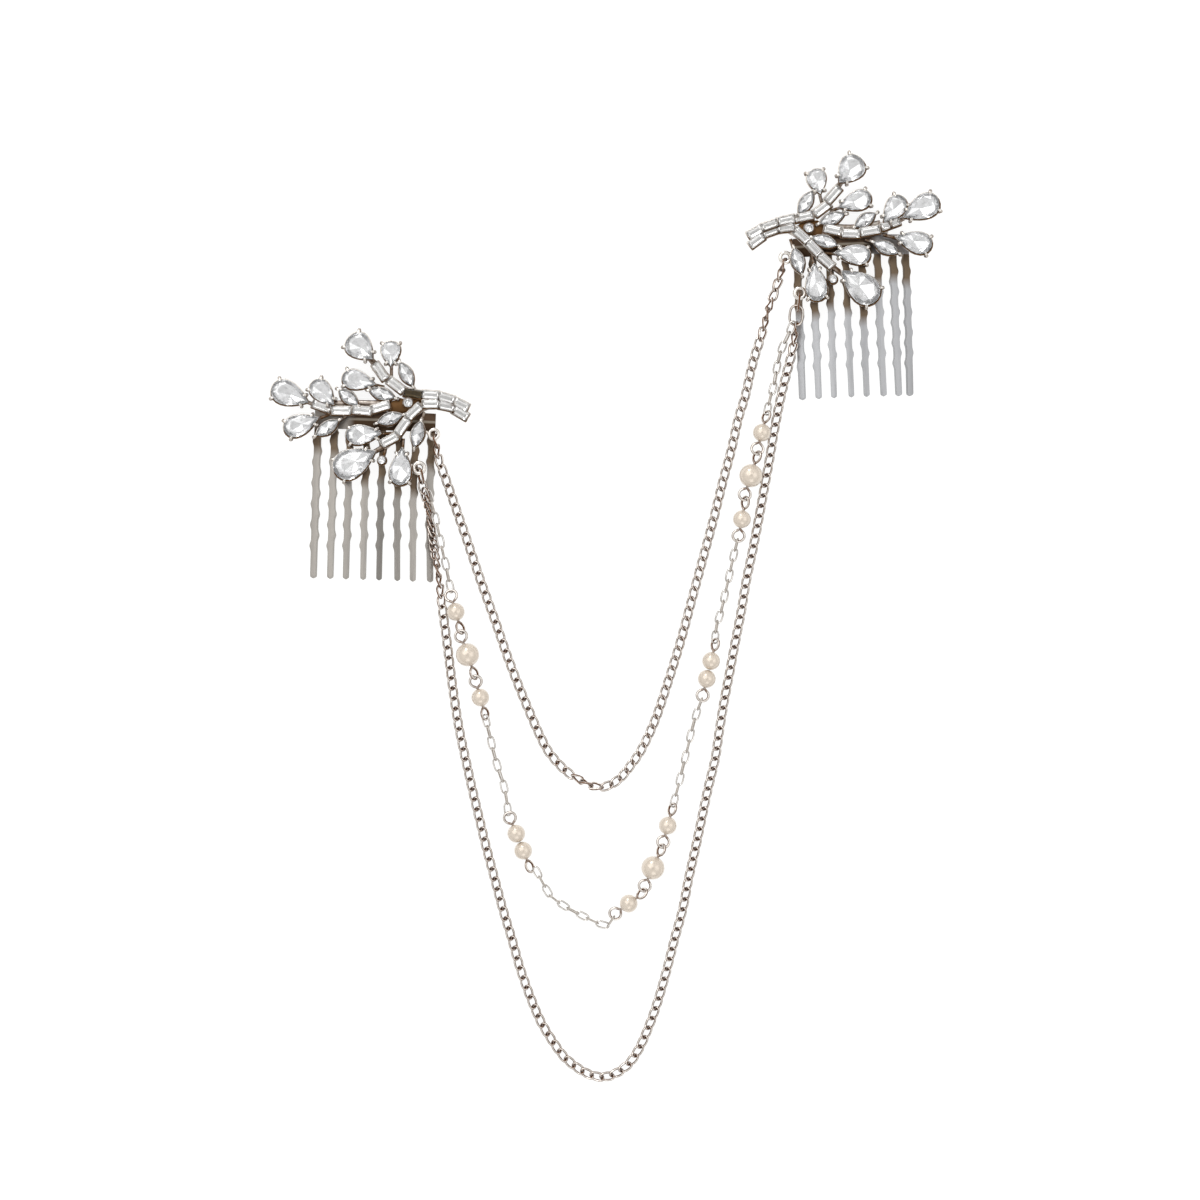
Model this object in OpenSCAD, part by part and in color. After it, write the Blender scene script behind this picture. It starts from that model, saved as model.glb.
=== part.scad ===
// Bridal hair comb: two mirrored stone-set sprays on side combs, joined by three swags of chain.
// It lies flat: X runs across, Y towards the sprays, Z up. Z = 0 is the surface that it lies on.

/* [Comb] */
// Height of the bar
comb_bar_h = 4.2; // [3:0.1:6]
// Thickness of the sheet
comb_t = 0.9; // [0.6:0.05:1.2]
// Number of teeth
comb_teeth = 8; // [6:1:10]
// Width of a tooth at the bar
tooth_top_w = 1.7; // [1.2:0.05:2]
// Width of a tooth at its tip
tooth_tip_w = 1.36; // [1:0.02:1.6]
// Sideways throw of the wave in a tooth
tooth_wave = 0.25; // [0:0.01:0.4]

/* [Spray] */
// Gap between a comb and its setting
comb_gap = 0.1; // [0.05:0.01:0.2]
// Thickness of the floor of a setting
floor_t = 0.4; // [0.3:0.05:0.8]
// Thickness of the wall round a stone
wall_t = 0.35; // [0.25:0.05:0.6]
// Depth of the pocket that a stone sits in
pocket_d = 1.3; // [1:0.05:2]
// Radius of a prong's bead
prong_r = 0.42; // [0.3:0.02:0.6]
// Width of a stem under the settings
stem_w = 1.1; // [0.8:0.1:2]

/* [Stones] */
// Clearance between a stone and its setting
stone_gap = 0.08; // [0.05:0.01:0.15]
// Height of the crown above the girdle
crown_h = 0.55; // [0.3:0.05:1]
// Height of the girdle
girdle_h = 0.2; // [0.1:0.05:0.4]
// Size of the table compared with the girdle
table_ratio = 0.62; // [0.4:0.02:0.8]
// Width of a baguette
baguette_w = 1.45; // [1:0.05:2]

/* [Chains] */
// Pitch of the curb links
curb_pitch = 2.35; // [2:0.05:3]
// Length of a curb link
curb_l = 3.35; // [3.2:0.05:3.6]
// Width of a curb link
curb_w = 2.3; // [2:0.05:3]
// Diameter of the wire of a curb link
curb_wire = 0.34; // [0.3:0.02:0.38]
// Width of the fine cable chain
fine_w = 1.3; // [1:0.05:2]
// Diameter of a small pearl
pearl_small = 4; // [3:0.1:5]
// Diameter of a large pearl
pearl_large = 5.2; // [4:0.1:6]
// Diameter of the wire of an eye pin
pin_wire = 0.36; // [0.3:0.02:0.4]

/* [Hidden] */
LEFT = 0;
RIGHT = 1;
SIDES = ["left", "right"];

// Pear stones. Columns: outside length and width of the cup, length of the stem past the tip,
// then for the left and the right spray the middle [x, y] and the direction of the tip.
PEARS = [
    // length, width, stem, [left x, y, turn], [right x, y, turn]
    [9.2, 5.8, 1.2, [-69.9, 49.7, -23], [69.4, 90.8, 207]],
    [7.4, 4.8, 1.4, [-62.6, 50.0, -48], [63.4, 90.5, 233]],
    [7.6, 6.1, 1.2, [-54.3, 60.0, -44], [53.7, 99.2, 230]],
    [6.0, 4.6, 2.0, [-47.7, 58.7, -90], [46.6, 96.7, 284]],
    [8.0, 4.7, 1.6, [-54.7, 52.8, -13], [54.8, 92.3, 199]],
    [8.6, 5.1, 2.6, [-67.4, 43.2, 21], [67.9, 83.5, 165]],
    [8.4, 4.7, 2.6, [-53.6, 40.9, 4], [54.3, 80.7, 175]],
    [10.6, 6.8, 2.0, [-55.6, 34.9, 27], [55.9, 73.8, 141]],
    [8.7, 5.1, 2.0, [-45.5, 33.8, 86], [46.3, 74.5, 96]],
];

// Marquise stones, with the same columns as the pears.
MARQUISES = [
    [6.5, 3.2, 1.2, [-44.3, 54.3, -62], [44.1, 92.2, 239]],
    [6.5, 3.1, 1.5, [-49.7, 49.9, -16], [49.9, 88.6, 200]],
    [6.0, 3.1, 0.8, [-57.1, 49.1, -38], [57.2, 88.3, 213]],
    [6.5, 3.1, 1.2, [-47.9, 44.4, 18], [48.3, 83.6, 162]],
    [6.6, 3.2, 1.6, [-61.8, 42.4, 34], [61.8, 82.2, 156]],
    [6.5, 3.3, 2.0, [-41.8, 41.0, 76], [42.3, 79.3, 107]],
];

// Round stones. Columns: outside diameter of the cup, stem, then place and direction of the stem.
ROUNDS = [
    [2.5, 2.4, 0.6, [-43.9, 47.9, 30], [44.8, 86.5, 150]],
    [2.2, 2.1, 2.2, [-49.7, 35.2, 75], [50.1, 75.2, 105]],
];

// Baguettes. Columns: length of the stone's channel, then for the left and the right spray the
// middle [x, y] and the turn.
BAGUETTES = [
    // upper row of the main stem
    [3.3, [-38.9, 49.7, -4], [39.8, 88.3, 12]],
    [3.2, [-35.4, 49.0, -16], [36.1, 87.2, 20]],
    [3.2, [-32.2, 47.6, -27], [32.9, 85.7, 30]],
    // lower row of the main stem
    [3.3, [-38.9, 47.7, 0], [39.7, 86.6, 8]],
    [3.2, [-35.4, 47.2, -12], [36.3, 85.8, 20]],
    [3.2, [-32.3, 45.6, -30], [33.2, 83.7, 36]],
    // upper branch
    [3.7, [-42.8, 50.0, -9], [43.6, 89.0, 12]],
    [3.7, [-46.6, 51.8, -38], [47.7, 90.8, 37]],
    [3.9, [-50.1, 54.9, -55], [50.1, 93.9, 49]],
    // lower branch
    [3.6, [-42.6, 46.0, 43], [43.1, 84.9, -42]],
    [3.6, [-45.1, 42.7, 55], [45.8, 82.1, -46]],
    [3.6, [-48.0, 39.7, 28], [48.5, 79.3, -42]],
    // middle branch
    [3.7, [-50.0, 47.0, 17], [50.1, 86.1, -12]],
    [3.8, [-54.1, 46.2, -5], [53.9, 85.3, -2]],
    [3.9, [-58.7, 46.2, 0], [58.3, 85.9, 10]],
    [3.9, [-63.0, 47.1, -20], [62.8, 87.4, 20]],
];

// Ribs that tie the branches together. Columns: side, start [x, y], end [x, y].
RIBS = [
    [LEFT, [-48.4, 47.4], [-43.9, 48.2]],
    [RIGHT, [48.4, 86.4], [44.8, 87.0]],
    [RIGHT, [41.4, 83.2], [40.4, 86.6]],
];

// Chain loops of the settings. Columns: side, middle [x, y], outside diameter, hole, anchor [x, y].
LOOPS = [
    [LEFT, [-38.3, 41.1], 2.9, 1.3, [-41.0, 41.8]],
    [LEFT, [-41.6, 33.6], 3.3, 1.4, [-44.0, 34.4]],
    [RIGHT, [39.6, 80.2], 3.1, 1.4, [42.0, 80.8]],
    [RIGHT, [42.8, 72.3], 3.1, 1.3, [45.2, 73.2]],
];

// Combs. Columns: middle of the top edge [x, y, turn], width over the teeth, height, rise of the
// arch, and how far from the middle the two holding tabs sit.
C_AT = 0;
C_W = 1;
C_H = 2;
C_RISE = 3;
C_TABS = 4;
COMBS = [
    [[-51.3, 46.3, -2], 27.4, 37.6, 2.2, [-7, 8.5]],
    [[54.3, 85.3, 2.2], 24.9, 36.0, 2.8, [-8.5, 7]],
];
function base_z(side) = COMBS[side][C_RISE] + comb_t + comb_gap;

// Height that a kind of seat stands above the underside, in the order of the cuts below.
LIFT = [0.5, 0, 0.3, 0.2];

// Rings between the settings and the chains. Columns: name, the two ends of the wire's middle
// line [x, y, z], half of its width, radius of the wire, roll about its length.
RINGS = [
    ["left_jump_ring", [-41.6, 33.5, 3.9], [-39.9, 28.2, 2.8], 1.0, 0.22, 60],
    ["right_ring_link", [42.8, 72.4, 4.35], [42.4, 68.3, 4.05], 0.9, 0.22, 90],
    ["right_jump_ring", [42.3, 69.6, 4.0], [41.9, 65.4, 2.8], 1.45, 0.28, 8],
];

// Middle of the shortest chain, from the middle of its first link to that of its last, [x, y, z].
INNER = [
    [-37.9, 39.5, 3.5], [-37.2, 35.4, 2.5], [-35.7, 31.0, 1.3], [-34.2, 26.6, 0.7],
    [-31.1, 17.7, 0.62], [-28.1, 8.8, 0.62], [-24.9, -0.1, 0.62], [-21.8, -9.0, 0.62],
    [-18.3, -17.9, 0.62], [-14.4, -26.8, 0.62], [-11.9, -30.8, 0.62], [-8.3, -34.3, 0.62],
    [-3.9, -36.6, 0.62], [-1.4, -37.0, 0.62], [1.4, -36.1, 0.62], [3.4, -34.8, 0.62],
    [5.2, -32.8, 0.62], [7.8, -29.0, 0.62], [10.9, -22.3, 0.62], [13.9, -13.4, 0.62],
    [16.6, -4.6, 0.62], [19.0, 4.3, 0.62], [21.4, 13.2, 0.62], [23.8, 22.1, 0.62],
    [26.0, 31.0, 0.62], [27.8, 37.7, 0.62], [29.4, 44.8, 0.62], [30.9, 49.7, 0.62],
    [32.1, 55.0, 0.62], [33.2, 59.2, 0.62], [34.8, 64.1, 1.0], [36.0, 69.0, 2.0],
    [37.6, 73.4, 3.1], [39.2, 78.6, 4.1],
];

// Middle of the longest chain, [x, y, z].
OUTER = [
    [-40.1, 27.5, 2.1], [-39.2, 22.1, 2.0], [-38.3, 15.4, 2.0], [-37.2, 8.8, 1.9],
    [-36.5, 2.1, 0.8], [-35.6, -4.6, 0.6], [-34.8, -11.2, 0.6], [-33.9, -17.9, 0.6],
    [-32.8, -24.6, 0.6], [-31.4, -31.2, 0.6], [-29.9, -37.9, 0.6], [-28.3, -44.6, 0.6],
    [-26.7, -51.2, 0.6], [-24.9, -57.9, 0.6], [-23.1, -64.6, 0.6], [-21.1, -71.2, 0.6],
    [-19.2, -77.9, 0.6], [-16.8, -84.6, 0.6], [-14.4, -90.1, 0.6], [-11.2, -95.2, 0.6],
    [-8.6, -98.3, 0.6], [-4.3, -101.2, 0.6], [0, -101.9, 0.6], [4.3, -99.7, 0.6],
    [7.2, -95.8, 0.6], [9.7, -90.1, 0.6], [11.6, -84.6, 0.6], [13.5, -77.9, 0.6],
    [15.2, -71.2, 0.6], [17.0, -64.6, 0.6], [18.3, -57.9, 0.6], [19.8, -51.2, 0.6],
    [21.2, -44.6, 0.6], [22.6, -37.9, 0.6], [24.2, -31.2, 0.6], [25.2, -24.6, 0.6],
    [26.3, -17.9, 0.6], [27.6, -11.2, 0.6], [28.8, -4.6, 0.6], [30.1, 2.1, 0.6],
    [31.2, 8.8, 0.6], [32.6, 15.4, 0.6], [33.9, 22.1, 0.6], [35.1, 28.8, 0.6],
    [36.3, 35.4, 0.6], [37.4, 42.0, 0.6], [38.7, 48.8, 0.6], [40.0, 54.3, 1.0],
    [41.4, 60.0, 1.9], [42.1, 64.6, 2.0],
];

// Middles of the fine chain's six stretches, [x, y, z].
FINE = [
    [[-39.3, 27.3, 3.5], [-38.4, 24.3, 3.4], [-37.6, 21.0, 3.3], [-36.9, 17.7, 3.2],
     [-36.2, 14.3, 2.9], [-35.6, 11.7, 2.5], [-35.1, 8.8, 2.0], [-34.8, 7.4, 1.7]],
    [[-26.8, -22.6, 1.4], [-26.0, -25.9, 0.7], [-25.2, -29.4, 0.65], [-24.2, -33.0, 0.65],
     [-23.0, -36.6, 0.65], [-22.3, -39.9, 1.0], [-22.0, -42.2, 1.6]],
    [[-15.4, -56.3, 1.6], [-13.9, -59.2, 0.7], [-12.2, -61.8, 0.65], [-8.8, -64.2, 0.65],
     [-5.0, -66.2, 0.65], [-1.8, -67.7, 0.65], [0.0, -68.2, 0.8], [0.7, -67.4, 1.3]],
    [[15.2, -39.7, 1.5], [16.4, -35.7, 0.7], [17.2, -32.2, 0.65], [18.0, -29.0, 0.65],
     [18.8, -25.6, 0.65], [19.8, -21.8, 0.8], [20.8, -18.8, 1.7]],
    [[24.2, -3.9, 1.6], [24.6, -1.2, 0.7], [25.6, 2.1, 0.65], [26.5, 6.0, 0.65],
     [27.4, 9.9, 0.65], [28.2, 13.7, 0.8], [28.9, 16.6, 1.4]],
    [[35.9, 46.9, 1.4], [36.4, 49.0, 0.7], [37.4, 52.8, 0.65], [38.0, 56.3, 0.9],
     [38.9, 60.0, 2.2], [40.2, 62.9, 3.1], [41.0, 64.8, 3.4]],
];

// Pearl strands. Columns: middle of the first eye [x, y, z], then its pins. A pin has its turn and
// its slope, its pearls' diameters, and the direction in which the next pin's eye lies.
STRANDS = [
    [[-34.6, 5.3, 1.6], [[-73.5, 8, [pearl_small], -86], [-70.5, 0, [pearl_large], -79],
                         [-74.4, -8, [pearl_small], 0]]],
    [[-21.5, -44.1, 2.0], [[-67.9, 0, [pearl_small, pearl_small], 0]]],
    [[1.4, -65.9, 1.6], [[37.6, 8, [pearl_small], 71], [65.5, 0, [pearl_large], 75],
                         [74.3, -8, [pearl_small], 0]]],
    [[21.4, -16.9, 2.0], [[76.3, 0, [pearl_small, pearl_small], 0]]],
    [[29.4, 18.6, 1.6], [[79.2, 8, [pearl_small], 93], [72, 0, [pearl_large], 87],
                         [74.4, -8, [pearl_small], 0]]],
];

// Shift that brings the middle of the whole object to the origin.
MIDDLE = [0.23, -0.25, 0];

// Numbers of corners of the stones' outlines.
pear_n = 16;
marquise_n = 12;
round_n = 12;
// Greatest value of sin(t) * sin(t / 2), which brings a pear's outline to its full width.
pear_full = 0.77;
cream = [0.94, 0.91, 0.85];
silver = [0.80, 0.79, 0.77];
comb_grey = [0.67, 0.66, 0.64];
glass = [0.90, 0.92, 0.95];

// Outline of a pear: a round head that narrows to a tip on +X.
function pear_outline(l, w) = [
    for (i = [0:pear_n - 1])
        let (t = 360 * i / pear_n)
        [l / 2 * cos(t), w / 2 * sin(t) * sin(t / 2) / pear_full]
];

// Outline of a marquise: two arcs that meet in tips on the X axis.
function marquise_outline(l, w) = [
    for (i = [0:marquise_n - 1])
        let (t = 360 * i / marquise_n)
        [l / 2 * cos(t), w / 2 * sin(t) * abs(sin(t))]
];

function round_outline(l, w) = [
    for (i = [0:round_n - 1])
        let (t = 360 * i / round_n)
        [l / 2 * cos(t), w / 2 * sin(t)]
];

function step_outline(l, w) = [[l / 2, w / 2], [-l / 2, w / 2], [-l / 2, -w / 2], [l / 2, -w / 2]];

PEAR = 0;
MARQUISE = 1;
ROUND = 2;
STEP = 3;
function outline(cut, l, w) =
    cut == PEAR ? pear_outline(l, w)
    : cut == MARQUISE ? marquise_outline(l, w)
    : cut == ROUND ? round_outline(l, w)
    : step_outline(l, w);

function lifted(points, k, z) = [for (p = points) [p[0] * k, p[1] * k, z]];

// A cut stone: table, crown, girdle and a pavilion that runs down to a point.
module stone(cut, l, w) {
    pts = outline(cut, l, w);
    n = len(pts);
    girdle_z = pocket_d - girdle_h;
    culet_z = stone_gap;
    points = concat(
        lifted(pts, table_ratio, girdle_z + girdle_h + crown_h),
        lifted(pts, 1, girdle_z + girdle_h),
        lifted(pts, 1, girdle_z),
        lifted(pts, 0.25, culet_z)
    );
    faces = concat(
        [[for (i = [n - 1:-1:0]) i]],
        [for (k = [0:2]) for (i = [0:n - 1])
            [k * n + i, k * n + (i + 1) % n, (k + 1) * n + (i + 1) % n, (k + 1) * n + i]],
        [[for (i = [0:n - 1]) 3 * n + i]]
    );
    polyhedron(points, faces, convexity = 2);
}

// Puts a shape at a table's [x, y, turn].
module seated(at) {
    translate([at[0], at[1], 0])
        rotate([0, 0, at[2]])
        children();
}

// The block of metal that a stone's pocket is cut in, with its stem past the tip.
module cup_block(cut, l, w, stem) {
    linear_extrude(LIFT[cut] + floor_t + pocket_d)
        polygon(outline(cut, l, w));
    if (stem > 0)
        translate([0, -stem_w / 2, 0])
            cube([l / 2 + stem, stem_w, floor_t]);
}

// The prongs of a pear or a marquise, at these angles round its outline.
function prongs(cut) = cut == PEAR ? [50, 140, 220, 310] : cut == MARQUISE ? [0, 180] : [];
prong_out = 0.05;
prong_up = 0.2;
module prong_set(cut, l, w) {
    top = LIFT[cut] + floor_t + pocket_d + prong_up;
    for (t = prongs(cut)) {
        reach = cut == PEAR ? sin(t / 2) / pear_full : abs(sin(t));
        translate([(l / 2 + prong_out) * cos(t), (w / 2 + prong_out) * sin(t) * reach, 0]) {
            cylinder(r = prong_r * 0.8, h = top, $fn = 20);
            translate([0, 0, top]) sphere(r = prong_r, $fn = 20);
        }
    }
}

module pocket(cut, l, w) {
    translate([0, 0, LIFT[cut] + floor_t])
        linear_extrude(pocket_d + 2)
        polygon(outline(cut, l - 2 * wall_t, w - 2 * wall_t));
}

// Every stone of one side: [cut, outside length, outside width, stem, [x, y, turn]].
function seats(side) = concat(
    [for (r = PEARS) [PEAR, r[0], r[1], r[2], r[3 + side]]],
    [for (r = MARQUISES) [MARQUISE, r[0], r[1], r[2], r[3 + side]]],
    [for (r = ROUNDS) [ROUND, r[0], r[1], r[2], r[3 + side]]],
    [for (r = BAGUETTES) [STEP, r[0] + 2 * wall_t, baguette_w + 2 * wall_t, 0, r[side + 1]]]
);

// A bar of the given height from one point to another.
module bar(from, to, width, height) {
    reach = to - from;
    translate(from)
        rotate([0, 0, atan2(reach[1], reach[0])])
        translate([0, -width / 2, 0])
        cube([norm(reach), width, height]);
}

// A chain loop: a ring of round wire on a short arm, each a little above the underside.
loop_up = 0.05;
arm_up = 0.12;
arm_w = 0.72;
arm_h = 0.25;
module loop_ring(row) {
    wire_r = (row[2] - row[3]) / 4;
    ring_r = (row[2] + row[3]) / 4;
    translate([row[1][0], row[1][1], wire_r + loop_up])
        rotate_extrude($fn = 32)
        translate([ring_r, 0])
        circle(r = wire_r, $fn = 20);
    arm = row[4] - row[1];
    translate([0, 0, arm_up]) bar(row[1] + arm * ring_r / norm(arm), row[4], arm_w, arm_h);
}

// Underside of a comb's arch at a distance from its middle.
function arch_r(c) = (pow(c[C_W] / 2, 2) + pow(c[C_RISE], 2)) / (2 * c[C_RISE]);
function arch_z(c, x) = c[C_RISE] - arch_r(c) + sqrt(pow(arch_r(c), 2) - x * x);

// A tab that is folded round the top edge of the comb's bar, in the comb's own frame.
tab_w = 2.4;
tab_t = 0.5;
tab_reach = 1.2;
module tab(side, x) {
    c = COMBS[side];
    lip_top = arch_z(c, abs(x) + tab_w / 2) - comb_gap;
    translate([x - tab_w / 2, comb_gap, lip_top - tab_t])
        cube([tab_w, tab_t, base_z(side) + floor_t - lip_top + tab_t]);
    translate([x - tab_w / 2, -tab_reach, lip_top - tab_t])
        cube([tab_w, tab_reach + comb_gap + tab_t, tab_t]);
}

module setting(side) {
    color(silver)
        translate(MIDDLE)
        difference() {
            union() {
                translate([0, 0, base_z(side)]) {
                    for (s = seats(side))
                        seated(s[4]) {
                            cup_block(s[0], s[1], s[2], s[3]);
                            prong_set(s[0], s[1], s[2]);
                        }
                    for (r = RIBS)
                        if (r[0] == side) bar(r[1], r[2], stem_w, floor_t);
                    for (r = LOOPS)
                        if (r[0] == side) loop_ring(r);
                }
                seated(COMBS[side][C_AT])
                    for (x = COMBS[side][C_TABS]) tab(side, x);
            }
            translate([0, 0, base_z(side)])
                for (s = seats(side))
                    seated(s[4]) pocket(s[0], s[1], s[2]);
        }
}

// Wavy middle line of a tooth, from the bar down to the tip at -Y.
wave_step = 2.38;
wave_n = 11;
wave_start = 2.7;
function tooth_w(c, d) = tooth_top_w + (tooth_tip_w - tooth_top_w) * d / c[C_H];

module tooth_outline(c, way) {
    straight = c[C_H] - tooth_tip_w / 2;
    top = comb_bar_h / 2;
    rows = concat(
        [[0, top]],
        [for (i = [1:wave_n]) [way * (i % 2 == 0 ? -1 : 1) * tooth_wave, wave_start + i * wave_step]],
        [[0, wave_start + (wave_n + 1) * wave_step], [0, straight]]
    );
    n = len(rows);
    polygon(concat(
        [for (i = [0:n - 1]) [rows[i][0] - tooth_w(c, rows[i][1]) / 2, -rows[i][1]]],
        [for (i = [n - 1:-1:0]) [rows[i][0] + tooth_w(c, rows[i][1]) / 2, -rows[i][1]]]
    ));
    translate([0, -straight]) circle(d = tooth_w(c, straight), $fn = 24);
}

module comb_outline(c, way) {
    pitch = (c[C_W] - tooth_top_w) / (comb_teeth - 1);
    translate([-c[C_W] / 2, -comb_bar_h]) square([c[C_W], comb_bar_h]);
    for (i = [0:comb_teeth - 1])
        translate([(i - (comb_teeth - 1) / 2) * pitch, 0]) tooth_outline(c, way);
}

// The comb: a flat outline cut from an arched sheet, both long edges down on the surface.
module comb(side) {
    c = COMBS[side];
    r = arch_r(c);
    color(comb_grey)
        translate(MIDDLE)
        seated(c[C_AT])
        intersection() {
            linear_extrude(c[C_RISE] + comb_t + 1) comb_outline(c, side == LEFT ? 1 : -1);
            translate([0, 1, c[C_RISE] - r])
                rotate([90, 0, 0])
                difference() {
                    cylinder(r = r + comb_t, h = c[C_H] + 2, $fn = 180);
                    translate([0, 0, -1]) cylinder(r = r, h = c[C_H] + 4, $fn = 180);
                }
        }
}

module one_stone(side, s) {
    color(glass)
        translate(MIDDLE + [0, 0, base_z(side) + LIFT[s[0]] + floor_t])
        seated(s[4])
        stone(s[0], s[1] - 2 * wall_t - 2 * stone_gap, s[2] - 2 * wall_t - 2 * stone_gap);
}

function seats_of(side, cut) = [for (s = seats(side)) if (s[0] == cut) s];

// Smooth curve through the points, with n steps from each to the next.
function at(p, i) = p[max(0, min(len(p) - 1, i))];
function smooth(p, n) = concat(
    [for (i = [0:len(p) - 2]) for (k = [0:n - 1])
        let (u = k / n, a = at(p, i - 1), b = p[i], c = p[i + 1], d = at(p, i + 2))
        b + u * (c - a) / 2 + u * u * (2 * a - 5 * b + 4 * c - d) / 2
            + u * u * u * (3 * b - 3 * c + d - a) / 2],
    [p[len(p) - 1]]
);

// Length of the curve up to each of its points.
function lengths(p) = [
    for (i = 0, s = 0; i < len(p); s = s + (i + 1 < len(p) ? norm(p[i + 1] - p[i]) : 0), i = i + 1) s
];
function along(p, s, d) = [for (k = [0:2]) lookup(d, [for (i = [0:len(p) - 1]) [s[i], p[i][k]]])];
function unit(v) = v / norm(v);

// The three directions of a link: along the chain, across it and out of it, rolled about the first.
function axes(ahead, roll) =
    let (side = unit(cross([0, 0, 1], ahead)), up = cross(ahead, side))
    [ahead, side * cos(roll) + up * sin(roll), up * cos(roll) - side * sin(roll)];

// Points and faces of a closed ring of wire along a list of points. The faces count from a number.
function wire_points(c, r, sides) =
    let (n = len(c), centre = (c[0] + c[floor(n / 2)]) / 2)
    [
        for (i = [0:n - 1])
            let (
                ahead = unit(c[(i + 1) % n] - c[(i + n - 1) % n]),
                out = c[i] - centre,
                a = unit(out - ahead * (out * ahead)),
                b = cross(ahead, a)
            )
            for (k = [0:sides - 1])
                c[i] + r * (a * cos(360 * k / sides) + b * sin(360 * k / sides))
    ];
function wire_faces(n, sides, from) = [
    for (i = [0:n - 1]) for (k = [0:sides - 1])
        let (j = (i + 1) % n, m = (k + 1) % sides, a = from + i * sides, b = from + j * sides)
        each [[a + k, b + k, b + m], [a + k, b + m, a + m]]
];

// Closed rings of wire, each along its own list of points, all with as many points.
module wire_rings(lines, r, sides) {
    n = len(lines[0]);
    polyhedron(
        [for (c = lines) each wire_points(c, r, sides)],
        [for (i = [0:len(lines) - 1]) each wire_faces(n, sides, i * n * sides)],
        convexity = 10
    );
}

// The middle line of a link's wire, in its own frame: half length, half width, half height of twist.
function link_line(a, b, h, n) = [
    for (i = [0:n - 1]) let (t = 360 * i / n) [a * cos(t), b * sin(t), h * sin(2 * t)]
];
function placed(line, p, m) = [for (v = line) p + v[0] * m[0] + v[1] * m[1] + v[2] * m[2]];

link_sections = 10;
link_sides = 5;
curb_twist = 0.42;
// Half of the stretch of the route that a link's direction is taken from.
curb_look = 0.8;
// The first and the last links roll upright, to hang in the loops.
function curb_roll(i, n) = max(0, 90 - 30 * i) - max(0, 90 - 30 * (n - i));

module curb_chain(route) {
    p = smooth(route, 4);
    s = lengths(p);
    total = s[len(s) - 1];
    n = round(total / curb_pitch);
    line = link_line((curb_l - curb_wire) / 2, (curb_w - curb_wire) / 2, curb_twist, link_sections);
    links = [
        for (i = [0:n])
            let (
                d = total * i / n,
                ahead = unit(along(p, s, min(total, d + curb_look)) - along(p, s, max(0, d - curb_look)))
            )
            placed(line, along(p, s, d), axes(ahead, curb_roll(i, n)))
    ];
    wire_rings(links, curb_wire / 2, link_sides);
}

// A tube of oval section along a list of points. The longest chain is as high as its links are.
tube_sides = 8;
curb_h = 1.1;
module tube(c, w, h) {
    n = len(c);
    points = [
        for (i = [0:n - 1])
            let (m = axes(unit(at(c, i + 1) - at(c, i - 1)), 0))
            for (k = [0:tube_sides - 1])
                let (t = 360 * (k + 0.5) / tube_sides)
                c[i] + m[1] * w / 2 * cos(t) + m[2] * h / 2 * sin(t)
    ];
    faces = concat(
        [[for (k = [0:tube_sides - 1]) k]],
        [for (i = [0:n - 2]) for (k = [0:tube_sides - 1])
            let (m = (k + 1) % tube_sides)
            [i * tube_sides + k, (i + 1) * tube_sides + k, (i + 1) * tube_sides + m, i * tube_sides + m]],
        [[for (k = [tube_sides - 1:-1:0]) (n - 1) * tube_sides + k]]
    );
    polyhedron(points, faces, convexity = 10);
}

// The same for a ring with straight sides and round ends.
function ring_line(a, b, n) = [
    for (i = [0:n - 1])
        let (t = 360 * i / n)
        [(a - b) * sign(cos(t)) + b * cos(t), b * sin(t), 0]
];

ring_sections = 14;
ring_sides = 6;
module ring(row) {
    reach = row[2] - row[1];
    line = ring_line(norm(reach) / 2, row[3], ring_sections);
    color(silver)
        translate(MIDDLE)
        wire_rings([placed(line, (row[1] + row[2]) / 2, axes(unit(reach), row[5]))], row[4], ring_sides);
}

// Eye pins: where each starts, and what is on it: [first eye, direction, pearls].
eye_r = 1.25;
eye_neck = 1.8;
eye_step = 1.78;
pin_bore = 0.56;
shaft_thin = 0.85;
pearl_gap = 0.1;
eye_rolls = [20, -66];
function pin_length(pearls) = 2 * eye_neck + sum(pearls) + pearl_gap * (len(pearls) - 1);
function sum(v, i = 0) = i < len(v) ? v[i] + sum(v, i + 1) : 0;
function heading(turn, slope) = [cos(turn) * cos(slope), sin(turn) * cos(slope), sin(slope)];
function pins_of(start, pins, i = 0) = i >= len(pins) ? [] :
    let (p = pins[i], way = heading(p[0], p[1]))
    concat(
        [[start, way, p[2]]],
        pins_of(start + way * pin_length(p[2]) + eye_step * heading(p[3], 0), pins, i + 1)
    );
PINS = [for (s = STRANDS) each pins_of(s[0], s[1])];

// Turns a shape that is drawn along Z to lie along a direction, rolled about it.
module aimed(p, way, roll) {
    translate(p)
        rotate([0, 90 - asin(way[2]), atan2(way[1], way[0])])
        rotate([0, 0, roll])
        children();
}

module eye_pin(pin) {
    reach = pin_length(pin[2]);
    wire_r = pin_wire / 2;
    for (e = [0, 1])
        aimed(pin[0] + pin[1] * reach * e, pin[1], eye_rolls[e])
            rotate([90, 0, 0])
            rotate_extrude($fn = 32)
            translate([eye_r, 0])
            circle(r = wire_r, $fn = 16);
    aimed(pin[0] + pin[1] * eye_r, pin[1], 0)
        cylinder(r = wire_r * shaft_thin, h = reach - 2 * eye_r, $fn = 16);
}

module pearls_of(pin) {
    for (i = [0:len(pin[2]) - 1]) {
        before = sum([for (k = [0:i]) pin[2][k]]) - pin[2][i] + pearl_gap * i;
        d = pin[2][i];
        aimed(pin[0] + pin[1] * (eye_neck + before + d / 2), pin[1], 0)
            difference() {
                sphere(d = d, $fn = 32);
                cylinder(d = pin_bore, h = d + 1, center = true, $fn = 16);
            }
    }
}

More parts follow.
